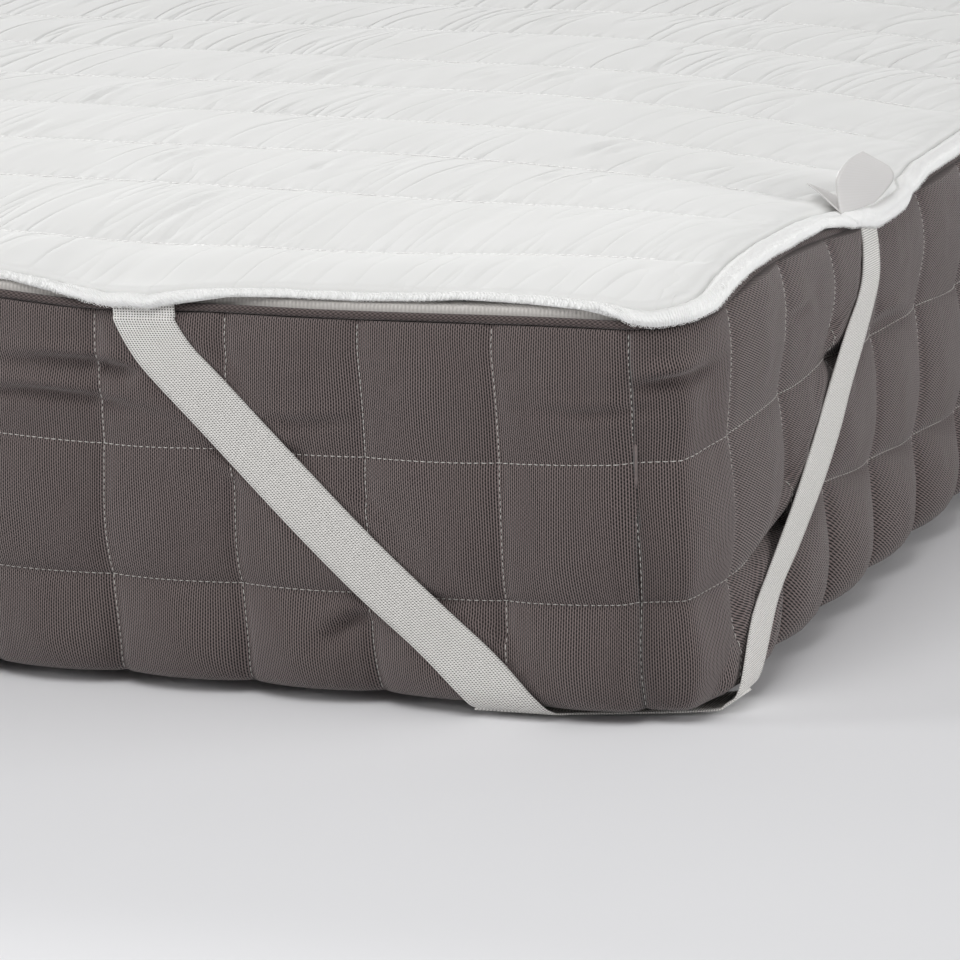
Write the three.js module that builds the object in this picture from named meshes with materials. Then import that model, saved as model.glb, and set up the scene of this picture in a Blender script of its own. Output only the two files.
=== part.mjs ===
// A quilted mattress protector with four elastic corner straps, on the mattress it fits.
// Millimetres, +Z up. Origin: middle of the mattress, on the surface it lies on.
// X runs across the bed, Y from the foot end (-Y) to the head end (+Y).

import * as THREE from 'three';

// ---- mattress ----
const width = 1400;
const length = 2000;
const cornerRadius = 50;
const seamHeight = 232; // top edge seam, where border, piping and top panel meet
// stitched squares round the border: one at each corner, and the number between two corners
const cornerSquare = { before: 28, after: 43 }; // its columns, from the middle of the corner
const squareCount = { side: 21, end: 16 };
const squareRows = [
  // rows of stitches, from the bottom seam to the top one: height, and how far back they lie
  { height: 8, inset: 14 },
  { height: 69.5, inset: 5 },
  { height: 151, inset: 2 },
  { height: seamHeight, inset: 1.5 },
];
const leastRadius = 8; // sharpest corner of any outline inside the mattress's own
const puff = { end: 4.5, side: 6.2 }; // how far the middle of a square stands out
const puffSpread = 0.62; // share of a square over which it rises
const puffMargin = 0.2; // share of a square on each side of its middle that is left to the rise
const arcStations = [-0.5, -1 / 6, 1 / 6, 0.5]; // places on each corner's arc, from its middle
const stationGap = 6; // least distance from such a place to a column of stitches
const underside = [
  { inset: 70, height: 4.5 },
  { inset: 150, height: 0 },
];

// ---- piping and top panel ----
const pipingRadius = 2.6;
const pipingInset = 0.9;
const panelShoulder = [
  { inset: 5.5, height: 4.5 },
  { inset: 9, height: 7.2 },
];
const panelEdgeHeight = 8.2; // above the seam, where the flat part of the top begins
const panelCrown = 24.5; // how much higher the middle of the top is
const crownReach = 310; // distance over which the top rises from its edge
const flatInset = 30; // the panel's underside is flat from here inwards

// ---- protector ----
const seamGap = 0.3; // clearance between pieces that touch
const quiltFirst = 75; // first sewn line, from the foot end
const quiltPitch = 100;
const quiltCount = 19;
const thickness = { line: 4, crest: 9, edge: 6, hem: 5 };
// The hem lies flat above this height over the seam, and has turned right down this much lower.
const hemFlat = { height: 10, fall: 12 };
const hemTurn = THREE.MathUtils.degToRad(62); // how far the hem turns down at a strap
const shoulderTurn = THREE.MathUtils.degToRad(40);
// The shoulder is the next grid line: how far behind the hem, and how high, flat and turned down.
const shoulder = { setback: { flat: 5, turned: 1.9 }, height: { flat: 9, turned: 8.6 }, drop: 1 };
const lineWander = { most: 4.8, wave: 170, turn: 0.037 }; // how a sewn line strays from straight

// Where the hem's underside lies: distance from the corner, reach past the side, height over the seam.
const endHem = [
  { along: 14, reach: 4.5, height: 2 },
  { along: 30, reach: 4.5, height: 2.6 },
  { along: 50, reach: 2.5, height: 7.6 },
  { along: 62, reach: 0, height: 10.2 },
  { along: 137, reach: -2, height: 12.4 },
  { along: 212, reach: -2, height: 9.7 },
  { along: 282, reach: 1, height: 9.6 },
  { along: 306, reach: 4.6, height: 7 },
  { along: 332, reach: 6.8, height: 2.5 },
  { along: 357, reach: 6.6, height: 3.5 },
  { along: 389, reach: 1.2, height: 7.5 },
  { along: 414, reach: -2, height: 9.6 },
  { along: 700, reach: -2, height: 11 },
];
const sideHem = [
  { along: 14, reach: 4.5, height: 2 },
  { along: 30, reach: 4.2, height: 4.2 },
  { along: 50, reach: 3, height: 6.5 },
  { along: 75, reach: 2.4, height: 6.4 },
  { along: 137, reach: 2.6, height: 5 },
  { along: 212, reach: 3, height: 6.8 },
  { along: 250, reach: 4.8, height: 5.4 },
  { along: 270, reach: 6, height: 2.4 },
  { along: 325, reach: 6.8, height: -3.2 },
  { along: 365, reach: 6.8, height: -2.6 },
  { along: 392, reach: 5.6, height: 3.2 },
  { along: 437, reach: 3.4, height: 6 },
  { along: 1000, reach: 2, height: 7 },
];

// Grid lines of the quilt and the panel under it, as distances from the edge.
const edgeLines = [0, 6, 13, 30, 50];
const hemLines = 2; // how many of them the hem shapes
const crossLines = [62, 137, 212, 250, 282, 306, 332, 362, 389, 414];

// ---- elastic straps ----
const strapWidth = 33;
const strapThickness = 1.1;
const strapStandoff = 5; // inner face of the strap, clear of the puffed squares
// Middle of the strap on each leg: distance below the seam and distance from the corner. On the
// side the squares are fuller, so there each row also says how far off the strap's inner face is.
const endLeg = [
  { drop: 5, along: 334 },
  { drop: 20, along: 325 },
  { drop: 36, along: 311 },
  { drop: 72, along: 276 },
  { drop: 124, along: 224 },
  { drop: 162, along: 183 },
  { drop: 192, along: 148 },
  { drop: 216, along: 124 },
];
const sideLeg = [
  { drop: 12, along: 303, off: 6 },
  { drop: 33, along: 294, off: 8.2 },
  { drop: 60, along: 263, off: 8.4 },
  { drop: 90, along: 229, off: 7.8 },
  { drop: 112, along: 203, off: 8 },
  { drop: 135, along: 169, off: 8.4 },
  { drop: 160, along: 126, off: 8 },
  { drop: 181, along: 89, off: 7.4 },
  { drop: 216, along: 66, off: 5.5 },
];
const strapSlant = 1.7; // a slanting band's level section is this much wider at most
const turnShare = 0.75; // share of the thickness that shows both outwards and down in the turn
// Sewn end inside the hem, then the turn under the mattress from each leg.
const strapTuck = [
  { step: 1.5, height: seamHeight + 2, off: 3.3 },
  { step: 0.5, height: seamHeight - 1, off: 4.4 },
];
const endTurn = [
  { step: -8, height: 6.5, off: -2 },
  { step: -18, height: 3.2, off: -14 },
];
const sideTurn = [
  { step: -3, height: 6.5, off: -2 },
  { step: -8, height: 3.2, off: -14 },
];

// ---- labels ----
const labelThickness = 1;
const overhead = 200; // above the seam, where the way down to the quilt starts
// Each row is a line across the label at its near and far side: how far it stands out from
// the mattress's side, its distance from the corner, and how far it is above the label's foot.
const mainLabel = [
  { near: { out: 2, along: 262, up: 0 }, far: { out: 7, along: 306, up: 0 } },
  { near: { out: -1, along: 259, up: 14 }, far: { out: 9, along: 318, up: 11 } },
  { near: { out: -2, along: 263, up: 24 }, far: { out: 9, along: 332, up: 17 } },
  { near: { out: -1, along: 285, up: 28 }, far: { out: 8, along: 342, up: 22 } },
  { near: { out: 0, along: 309, up: 29 }, far: { out: 6, along: 345, up: 28 } },
];
const careLabel = [
  { near: { out: -3, along: 258, up: 0 }, far: { out: -4, along: 291, up: 0 } },
  { near: { out: -6, along: 257, up: 8 }, far: { out: -8, along: 290, up: 8 } },
  { near: { out: -11, along: 257, up: 15 }, far: { out: -14, along: 289, up: 14 } },
  { near: { out: -18, along: 257, up: 21 }, far: { out: -21, along: 288, up: 19 } },
];

// Uneven filling lifts or lowers the mattress's edge: place, reach and height of each soft rise.
const edgeRises = [
  { x: 700, y: -870, reachX: 260, reachY: 215, height: 13 },
  { x: 700, y: -1000, reachX: 260, reachY: 110, height: -3.3 },
  { x: 440, y: -1000, reachX: 200, reachY: 220, height: -2.4 },
  { x: 330, y: -1000, reachX: 90, reachY: 150, height: -3.6 },
  { x: -700, y: -560, reachX: 260, reachY: 400, height: -4 },
  { x: -700, y: 820, reachX: 260, reachY: 260, height: 8 },
  { x: 700, y: 380, reachX: 260, reachY: 420, height: -5 },
  { x: -150, y: 1000, reachX: 420, reachY: 220, height: 5 },
];

const halfWidth = width / 2;
const halfLength = length / 2;
const quarterArc = (Math.PI / 2) * cornerRadius;

const cloth = (colour, roughness) =>
  new THREE.MeshStandardMaterial({ color: colour, roughness, metalness: 0 });
const materials = {
  quilt: cloth(0xe9e9e8, 0.85),
  border: cloth(0x5d5453, 0.92),
  piping: cloth(0x4c4443, 0.9),
  panel: cloth(0x9d9995, 0.9),
  elastic: cloth(0xc3c2bf, 0.8),
  label: cloth(0xc2c0be, 0.7),
};

const bell = (t) => (Math.abs(t) < 1 ? Math.cos((Math.PI / 2) * t) ** 2 : 0);

function edgeRise(x, y) {
  let rise = 0;
  for (const spot of edgeRises) {
    rise += spot.height * bell((x - spot.x) / spot.reachX) * bell((y - spot.y) / spot.reachY);
  }
  return rise;
}

// Reads a table by its first column, with straight lines between the rows.
function read(table, key, at, column) {
  if (at <= table[0][key]) return table[0][column];
  for (let i = 1; i < table.length; i += 1) {
    if (at <= table[i][key]) {
      const t = (at - table[i - 1][key]) / (table[i][key] - table[i - 1][key]);
      return THREE.MathUtils.lerp(table[i - 1][column], table[i][column], t);
    }
  }
  return table[table.length - 1][column];
}

// A closed body, gathered from points and faces.
class Body {
  constructor() {
    this.points = [];
    this.faces = [];
  }

  // Everything near the top follows the mattress's uneven edge.
  point(x, y, z) {
    const share = THREE.MathUtils.clamp(z / seamHeight, 0, 1);
    this.points.push(new THREE.Vector3(x, y, z + edgeRise(x, y) * share));
    return this.points.length - 1;
  }

  quad(a, b, c, d) {
    this.faces.push([a, b, c], [a, c, d]);
  }

  // Faces between two closed loops with the same number of points.
  strip(lower, upper, facing = 1) {
    lower.forEach((a, i) => {
      const j = (i + 1) % lower.length;
      if (facing > 0) this.quad(a, lower[j], upper[j], upper[i]);
      else this.faces.push([a, upper[j], lower[j]], [a, upper[i], upper[j]]);
    });
  }

  // Faces between two lines of points that follow each other but are divided differently.
  // Each point carries its place along the line.
  lace(lower, upper) {
    let i = 0;
    let j = 0;
    while (i + 1 < lower.length || j + 1 < upper.length) {
      const lowNext = i + 1 < lower.length ? lower[i + 1].at : Infinity;
      const highNext = j + 1 < upper.length ? upper[j + 1].at : Infinity;
      if (lowNext <= highNext) {
        this.faces.push([lower[i].id, lower[i + 1].id, upper[j].id]);
        i += 1;
      } else {
        this.faces.push([lower[i].id, upper[j + 1].id, upper[j].id]);
        j += 1;
      }
    }
  }

  // A closed loop as a line that starts and ends at its point nearest to the corner at -X, -Y.
  unrolled(loop) {
    const turns = loop.map((id) => Math.atan2(this.points[id].y / halfLength, this.points[id].x / halfWidth));
    const first = turns.indexOf(Math.min(...turns));
    const ids = loop.map((_, i) => (first + i) % loop.length);
    const line = ids.map((i) => ({ id: loop[i], at: turns[i] }));
    return [...line, { id: line[0].id, at: line[0].at + 2 * Math.PI }];
  }

  // A nearly flat cover over a closed loop, as a fan from the middle of the bed.
  cover(loop, height, facing) {
    const middle = this.point(0, 0, height);
    loop.forEach((a, i) => {
      const b = loop[(i + 1) % loop.length];
      this.faces.push(facing > 0 ? [a, b, middle] : [b, a, middle]);
    });
  }

  mesh(name, material) {
    const geometry = new THREE.BufferGeometry().setFromPoints(this.points);
    geometry.setIndex(this.faces.flat());
    geometry.computeVertexNormals();
    const mesh = new THREE.Mesh(geometry, material);
    mesh.name = name;
    return mesh;
  }
}

// ---- places on the mattress ----

// A point on the mattress's outline, moved in by inset. Turns anticlockwise, seen from above.
function outlineSpot(travel, inset) {
  const sideRun = length - 2 * cornerRadius;
  const endRun = width - 2 * cornerRadius;
  const radius = Math.max(cornerRadius - inset, leastRadius);
  const halfX = halfWidth - inset - radius;
  const halfY = halfLength - inset - radius;
  // starts at the middle of the corner at +X, -Y
  let left = travel + quarterArc / 2;
  const legs = [
    { run: sideRun, corner: [1, -1], angle: -Math.PI / 2 },
    { run: endRun, corner: [1, 1], angle: 0 },
    { run: sideRun, corner: [-1, 1], angle: Math.PI / 2 },
    { run: endRun, corner: [-1, -1], angle: Math.PI },
  ];
  const around = 4 * quarterArc + 2 * (sideRun + endRun);
  left = ((left % around) + around) % around;
  for (let k = 0; k < legs.length; k += 1) {
    const { run, corner, angle } = legs[k];
    if (left <= quarterArc) {
      const turn = angle + (left / quarterArc) * (Math.PI / 2);
      return [corner[0] * halfX + radius * Math.cos(turn), corner[1] * halfY + radius * Math.sin(turn)];
    }
    left -= quarterArc;
    if (left <= run) {
      const next = legs[(k + 1) % legs.length];
      const turn = angle + Math.PI / 2;
      const share = left / run;
      const out = [radius * Math.cos(turn), radius * Math.sin(turn)];
      return [0, 1].map((n) => {
        const half = n === 0 ? halfX : halfY;
        return THREE.MathUtils.lerp(corner[n] * half, next.corner[n] * half, share) + out[n];
      });
    }
    left -= run;
  }
  throw new Error('outline travel out of range');
}

// Distance round the outline from the middle of one corner to the next.
const sideStep = length - 2 * cornerRadius + quarterArc;
const endStep = width - 2 * cornerRadius + quarterArc;
const outlineLength = 2 * (sideStep + endStep);

// Stations round the outline: one at each column of stitches, and a few more round each corner.
function makeStations() {
  const columns = [];
  const bends = [];
  let middle = 0;
  for (const [step, count] of [sideStep, endStep, sideStep, endStep].map((run) =>
    [run, run === sideStep ? squareCount.side : squareCount.end])) {
    const first = middle + cornerSquare.after;
    const pitch = (step - cornerSquare.after - cornerSquare.before) / count;
    columns.push(middle - cornerSquare.before, ...Array.from({ length: count }, (_, k) => first + k * pitch));
    bends.push(...arcStations.map((share) => middle + share * quarterArc));
    middle += step;
  }
  const extra = bends
    .map((travel) => (travel < columns[0] ? travel + outlineLength : travel))
    .filter((travel) => columns.every((column) => Math.abs(column - travel) > stationGap));
  return [
    ...columns.map((travel) => ({ travel, column: true })),
    ...extra.map((travel) => ({ travel, column: false })),
  ].sort((a, b) => a.travel - b.travel);
}
const stations = makeStations();

const outlineLoop = (body, inset, height) =>
  stations.map(({ travel }) => body.point(...outlineSpot(travel, inset), height));

// Height of the top panel over the seam.
function crown(x, y) {
  const swell = (inside) => {
    const t = THREE.MathUtils.clamp(inside / crownReach, 0, 1);
    return 1 - (1 - t) ** 2;
  };
  return panelEdgeHeight + panelCrown * swell(halfWidth - Math.abs(x)) * swell(halfLength - Math.abs(y));
}

// Lines of the quilt's grid, from one edge to the other. Depth counts them in from the edge.
function gridLines(half, inner) {
  const edges = (side) => edgeLines.map((inset, depth) => ({ side, inset, depth }));
  const middle = inner.map(({ at, sewn }) => ({ side: 0, at: at - half, sewn, depth: edgeLines.length }));
  return [...edges(-1), ...middle, ...edges(1).reverse()];
}

const crossed = [...crossLines, halfWidth, ...crossLines.map((at) => width - at).reverse()];
const acrossLines = gridLines(halfWidth, crossed.map((at) => ({ at })));
// sewn lines, each followed by a crest
const quiltRows = Array.from({ length: quiltCount * 2 }, (_, i) =>
  ({ at: quiltFirst + (i * quiltPitch) / 2, sewn: i % 2 === 0 }));
const alongLines = gridLines(halfLength, quiltRows);

// Rounds the grid's corners: a square patch becomes a quarter disc.
function roundCorner(x, y) {
  const centreX = halfWidth - cornerRadius;
  const centreY = halfLength - cornerRadius;
  const px = (Math.abs(x) - centreX) / cornerRadius;
  const py = (Math.abs(y) - centreY) / cornerRadius;
  if (px <= 0 || py <= 0) return [x, y];
  const scale = Math.max(px, py) / Math.hypot(px, py);
  return [
    Math.sign(x) * (centreX + px * scale * cornerRadius),
    Math.sign(y) * (centreY + py * scale * cornerRadius),
  ];
}

// Position of a grid line, given how far its outermost lines reach in from the side.
function linePlace(line, half, firstInsets) {
  if (line.side === 0) return line.at;
  return line.side * (half - (firstInsets[line.depth] ?? line.inset));
}

// ---- pieces ----

function mattress() {
  const body = new Body();
  const loops = squareRows.map(({ inset, height }) => outlineLoop(body, inset, height));
  const starts = stations.flatMap(({ column }, i) => (column ? [i] : []));
  for (let row = 0; row + 1 < squareRows.length; row += 1) {
    const [low, high] = [squareRows[row], squareRows[row + 1]];
    const flat = (low.inset + high.inset) / 2;
    starts.forEach((start, k) => {
      // each square is laced to a short line of points that stand out across its middle
      const stop = k + 1 < starts.length ? starts[k + 1] : stations.length;
      const edge = Array.from({ length: stop - start + 1 }, (_, n) => {
        const i = start + n;
        const round = i < stations.length ? 0 : outlineLength;
        return { i: i % stations.length, at: stations[i % stations.length].travel + round };
      });
      const centre = (edge[0].at + edge.at(-1).at) / 2;
      const step = edge.at(-1).at - edge[0].at;
      const inner = edge
        .slice(1, -1)
        .map(({ at }) => at)
        .filter((at) => Math.abs(at - centre) > step * puffMargin);
      const full = Math.abs(outlineSpot(centre, 0)[0]) > halfWidth - 1 ? puff.side : puff.end;
      const middles = [...inner, centre].sort((p, q) => p - q).map((at) => {
        const out = (flat + full) * bell((at - centre) / (step * puffSpread));
        return { id: body.point(...outlineSpot(at, flat - out), (low.height + high.height) / 2), at };
      });
      const [bottom, top] = [loops[row], loops[row + 1]].map((loop) =>
        edge.map(({ i, at }) => ({ id: loop[i], at })));
      body.lace(bottom, middles);
      body.lace(middles, top);
      body.faces.push([top[0].id, bottom[0].id, middles[0].id]);
      body.faces.push([bottom.at(-1).id, top.at(-1).id, middles.at(-1).id]);
    });
  }
  const rim = outlineLoop(body, panelShoulder[0].inset, seamHeight);
  const top = outlineLoop(body, flatInset, seamHeight);
  body.strip(loops.at(-1), rim);
  body.strip(rim, top);
  body.cover(top, seamHeight, 1);
  let edge = loops[0];
  for (const { inset, height } of underside) {
    const next = outlineLoop(body, inset, height);
    body.strip(next, edge);
    edge = next;
  }
  body.cover(edge, 0, -1);
  return body.mesh('mattress_body', materials.border);
}

function piping() {
  const body = new Body();
  const middle = seamHeight + seamGap + pipingRadius;
  const sides = [
    { out: 1, up: 0 },
    { out: 0, up: 1 },
    { out: -1, up: 0 },
    { out: 0, up: -1 },
  ];
  const loops = sides.map(({ out, up }) =>
    outlineLoop(body, pipingInset - out * pipingRadius, middle + up * pipingRadius));
  loops.forEach((loop, i) => body.strip(loop, loops[(i + 1) % loops.length]));
  return body.mesh('top_piping', materials.piping);
}

// The top surface that the panel and the quilt's underside share, as rows of point numbers.
function gridSurface(body, place) {
  return alongLines.map((along) => acrossLines.map((across) => body.point(...place(across, along))));
}

function rimOf(grid) {
  const last = grid.length - 1;
  const end = grid[0].length - 1;
  return [
    ...grid[0].slice(0, end),
    ...grid.slice(0, last).map((row) => row[end]),
    ...grid[last].slice(1).reverse(),
    ...grid.slice(1).reverse().map((row) => row[0]),
  ];
}

function fillGrid(body, grid, facing) {
  for (let j = 0; j + 1 < grid.length; j += 1) {
    for (let i = 0; i + 1 < grid[j].length; i += 1) {
      const ring = [grid[j][i], grid[j][i + 1], grid[j + 1][i + 1], grid[j + 1][i]];
      body.quad(...(facing > 0 ? ring : [ring[0], ring[3], ring[2], ring[1]]));
    }
  }
}

// A sewn line strays a little from straight, more in the middle of the bed than at its edges.
function wander(x, at) {
  const calm = bell(x / halfWidth) ** 0.25;
  return lineWander.most * calm * Math.sin(x / lineWander.wave + at * lineWander.turn);
}

function flatSpot(across, along, firstInsets) {
  const x = linePlace(across, halfWidth, firstInsets);
  const y = linePlace(along, halfLength, firstInsets);
  const shifted = along.side === 0 ? y + wander(x, y + halfLength) : y;
  return roundCorner(x, shifted);
}

function topPanel() {
  const body = new Body();
  const shoulderInsets = panelShoulder.map(({ inset }) => inset);
  const grid = gridSurface(body, (across, along) => {
    const [x, y] = flatSpot(across, along, shoulderInsets);
    const depth = Math.min(across.depth, along.depth);
    const height = depth < panelShoulder.length ? panelShoulder[depth].height : crown(x, y);
    return [x, y, seamHeight + height];
  });
  fillGrid(body, grid, 1);
  const rim = outlineLoop(body, shoulderInsets[0], seamHeight + seamGap);
  body.lace(body.unrolled(rim), body.unrolled(rimOf(grid)));
  const flat = outlineLoop(body, flatInset, seamHeight + seamGap);
  body.strip(rim, flat, -1);
  body.cover(flat, seamHeight + seamGap, -1);
  return body.mesh('top_panel', materials.panel);
}

// Hem and shoulder of the quilt beside a point on its edge.
function hemProfile(along, table) {
  const reach = read(table, 'along', along, 'reach');
  const height = read(table, 'along', along, 'height');
  const droop = THREE.MathUtils.clamp((hemFlat.height - height) / hemFlat.fall, 0, 1);
  const blend = ({ flat, turned }) => THREE.MathUtils.lerp(flat, turned, droop);
  return [
    { reach, height, turn: droop * hemTurn, thick: thickness.hem },
    {
      reach: reach - blend(shoulder.setback),
      height: Math.max(height - shoulder.drop, blend(shoulder.height)),
      turn: droop * shoulderTurn,
      thick: thickness.edge,
    },
  ];
}

// Underside point and the way the quilt's thickness goes from it.
function quiltSpot(across, along) {
  const depth = Math.min(across.depth, along.depth);
  const [flatX, flatY] = flatSpot(across, along, []);
  if (depth >= hemLines) {
    const inner = along.sewn ? thickness.line : thickness.crest;
    const thick = depth < edgeLines.length - 1 ? thickness.edge : inner;
    return { x: flatX, y: flatY, z: seamHeight + crown(flatX, flatY) + seamGap, out: [0, 0], turn: 0, thick };
  }
  const onSide = across.depth <= along.depth;
  const distance = onSide ? halfLength - Math.abs(flatY) : halfWidth - Math.abs(flatX);
  const profiles = hemProfile(distance, onSide ? sideHem : endHem);
  const [x, y] = flatSpot(across, along, profiles.map(({ reach }) => -reach));
  const { height, turn, thick } = profiles[depth];
  const fromCorner = [
    Math.sign(x) * Math.max(Math.abs(x) - (halfWidth - cornerRadius), 0),
    Math.sign(y) * Math.max(Math.abs(y) - (halfLength - cornerRadius), 0),
  ];
  const size = Math.hypot(...fromCorner);
  return { x, y, z: seamHeight + height, out: fromCorner.map((v) => v / size), turn, thick };
}

function protector() {
  const body = new Body();
  const under = gridSurface(body, (across, along) => {
    const { x, y, z } = quiltSpot(across, along);
    return [x, y, z];
  });
  const upper = gridSurface(body, (across, along) => {
    const { x, y, z, out, turn, thick } = quiltSpot(across, along);
    const aside = thick * Math.sin(turn);
    return [x + out[0] * aside, y + out[1] * aside, z + thick * Math.cos(turn)];
  });
  fillGrid(body, upper, 1);
  fillGrid(body, under, -1);
  body.strip(rimOf(under), rimOf(upper));
  return body.mesh('protector', materials.quilt);
}

// A strap is one band: down the end, under the corner and up the side.
// Each section lies across the band, level on the two faces, so the band folds along the bottom edge.
function strapSections() {
  const leg = (table, onSide) => table.map(({ drop, along, off = strapStandoff }, i) => {
    const above = table[Math.max(i - 1, 0)];
    const below = table[Math.min(i + 1, table.length - 1)];
    const slant = Math.hypot(below.drop - above.drop, below.along - above.along) / (below.drop - above.drop);
    const spread = (strapWidth / 2) * Math.min(slant, strapSlant);
    return { along: [along - spread, along + spread], height: seamHeight - drop, off, onSide };
  });
  // the sewn end inside the hem, and the turn under the mattress
  const reached = (row, steps) => steps.map(({ step, height, off }) =>
    ({ ...row, along: row.along.map((v) => v + step), height, off }));
  const endRows = leg(endLeg, false);
  const sideRows = leg(sideLeg, true).reverse();
  return [
    ...reached(endRows[0], strapTuck),
    ...endRows,
    ...reached(endRows.at(-1), endTurn),
    ...reached(sideRows[0], sideTurn).reverse(),
    ...sideRows,
    ...reached(sideRows.at(-1), strapTuck).reverse(),
  ];
}

function strap(name, sideX, sideY) {
  const body = new Body();
  const sections = strapSections();
  // inner and outer face of the band at both edges
  const place = (section, edge, offset) => {
    const along = section.along[edge];
    const out = section.off + offset.out;
    const x = section.onSide ? halfWidth + out : halfWidth - along;
    const y = section.onSide ? halfLength - along : halfLength + out;
    return body.point(sideX * x, sideY * y, section.height + offset.up);
  };
  const offsetOf = (section, outer) => {
    const under = section.height < 2 * strapStandoff && section.off < -strapStandoff;
    const turning = section.height < 2 * strapStandoff && !under;
    if (!outer) return { out: 0, up: 0 };
    if (under) return { out: 0, up: -strapThickness };
    const turned = turnShare * strapThickness;
    return turning ? { out: turned, up: -turned } : { out: strapThickness, up: 0 };
  };
  const rings = sections.map((section) => {
    const [inner, outer] = [offsetOf(section, false), offsetOf(section, true)];
    return [
      place(section, 1, inner),
      place(section, 0, inner),
      place(section, 0, outer),
      place(section, 1, outer),
    ];
  });
  for (let k = 0; k + 1 < rings.length; k += 1) body.strip(rings[k], rings[k + 1]);
  body.quad(...[...rings[0]].reverse());
  body.quad(...rings.at(-1));
  if (sideX * sideY > 0) body.faces.forEach((face) => face.reverse());
  return body.mesh(name, materials.elastic);
}

// A label stands on the hem: its foot follows the quilt's upper face and it curls as it rises.
function label(name, rows, quilt) {
  const body = new Body();
  const caster = new THREE.Raycaster();
  const down = new THREE.Vector3(0, 0, -1);
  const groundAt = (x, y) => {
    caster.set(new THREE.Vector3(x, y, seamHeight + overhead), down);
    return caster.intersectObject(quilt)[0].point.z;
  };
  const spots = ['near', 'far'].map((side) => {
    const { out, along } = rows[0][side];
    const foot = [0, labelThickness].map((t) => groundAt(halfWidth + out - t, along - halfLength));
    return { side, ground: Math.max(...foot) + seamGap };
  });
  const rings = rows.map((row) => {
    const corner = ({ side, ground }, t) => {
      const { out, along, up } = row[side];
      body.points.push(new THREE.Vector3(halfWidth + out - t, along - halfLength, ground + up));
      return body.points.length - 1;
    };
    const [near, far] = spots;
    return [corner(near, 0), corner(far, 0), corner(far, labelThickness), corner(near, labelThickness)];
  });
  for (let k = 0; k + 1 < rings.length; k += 1) body.strip(rings[k], rings[k + 1]);
  body.quad(...[...rings[0]].reverse());
  body.quad(...rings.at(-1));
  return body.mesh(name, materials.label);
}

const model = new THREE.Group();
const quilt = protector();
model.add(mattress(), piping(), topPanel(), quilt);
const corners = [
  { name: 'strap_foot_right', x: 1, y: -1 },
  { name: 'strap_foot_left', x: -1, y: -1 },
  { name: 'strap_head_right', x: 1, y: 1 },
  { name: 'strap_head_left', x: -1, y: 1 },
];
for (const corner of corners) model.add(strap(corner.name, corner.x, corner.y));
quilt.updateMatrixWorld(true);
model.add(label('label_main', mainLabel, quilt), label('label_care', careLabel, quilt));

export default model;
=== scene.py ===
import bisect
import math
import random
from functools import partial

import bmesh
import bpy
from mathutils import Matrix, Vector, noise


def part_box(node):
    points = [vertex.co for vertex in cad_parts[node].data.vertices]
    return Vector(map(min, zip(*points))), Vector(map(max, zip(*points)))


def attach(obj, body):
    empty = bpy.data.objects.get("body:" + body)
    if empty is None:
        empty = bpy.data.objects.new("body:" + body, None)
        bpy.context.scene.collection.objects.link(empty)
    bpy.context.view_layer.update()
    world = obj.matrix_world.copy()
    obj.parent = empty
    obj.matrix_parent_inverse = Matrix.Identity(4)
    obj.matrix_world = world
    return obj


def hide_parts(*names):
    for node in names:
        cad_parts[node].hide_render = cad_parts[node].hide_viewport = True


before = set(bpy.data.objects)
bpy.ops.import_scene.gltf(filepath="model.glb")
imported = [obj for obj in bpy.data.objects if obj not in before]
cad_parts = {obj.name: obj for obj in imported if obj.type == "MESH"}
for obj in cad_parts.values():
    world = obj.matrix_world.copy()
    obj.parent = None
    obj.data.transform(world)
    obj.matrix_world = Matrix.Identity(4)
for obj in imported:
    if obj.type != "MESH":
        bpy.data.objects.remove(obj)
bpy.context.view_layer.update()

mm = 0.001  # every size below is in millimetres, and the finished pieces are in metres
halfTurn = math.pi
weld = 0.01

print("camera")
cameraSetup = {
    "location": (1.8051, -4.2117, 1.0122),
    "forward": (-0.34851, 0.90462, -0.24535),
    "up": (-0.06322, 0.23848, 0.96909),
    "lens": 234.3,
    "sensor": 36,
    "clip": (0.05, 60),
}


def addCamera(setup):
    data = bpy.data.cameras.new("camera")
    data.lens = setup["lens"]
    data.sensor_width = setup["sensor"]
    data.clip_start, data.clip_end = setup["clip"]
    camera = bpy.data.objects.new("camera", data)
    forward = Vector(setup["forward"]).normalized()
    right = forward.cross(Vector(setup["up"])).normalized()
    turn = Matrix((right, right.cross(forward), -forward)).transposed()
    camera.matrix_world = Matrix.Translation(setup["location"]) @ turn.to_4x4()
    bpy.context.scene.collection.objects.link(camera)
    bpy.context.scene.camera = camera


addCamera(cameraSetup)


def clamp(value, low=0.0, high=1.0):
    return max(low, min(high, value))


def blend(a, b, share):
    return a + (b - a) * share


def smooth(share):
    share = clamp(share)
    return share * share * (3 - 2 * share)


def bell(t):
    return math.cos(halfTurn / 2 * t) ** 2 if abs(t) < 1 else 0.0


def rough(wave, a, b):
    # soft noise, the same in every run: a wave is its most, its size both ways and its layer
    most, sizeA, sizeB, layer = wave
    return most * noise.noise(Vector((a / sizeA, b / sizeB, layer)))


def readTable(table, at, column=1):
    # a table's value at a place, eased from row to row
    places = [row[0] for row in table]
    n = bisect.bisect_right(places, at)
    if n == 0:
        return table[0][column]
    if n == len(table):
        return table[-1][column]
    share = (at - places[n - 1]) / (places[n] - places[n - 1])
    return blend(table[n - 1][column], table[n][column], smooth(share))


def srgb(code):
    # a hex colour as the linear one that shaders take
    channels = [int(code[n:n + 2], 16) / 255 for n in (1, 3, 5)]
    return (*[c / 12.92 if c <= 0.04045 else ((c + 0.055) / 1.055) ** 2.4 for c in channels], 1)


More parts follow.
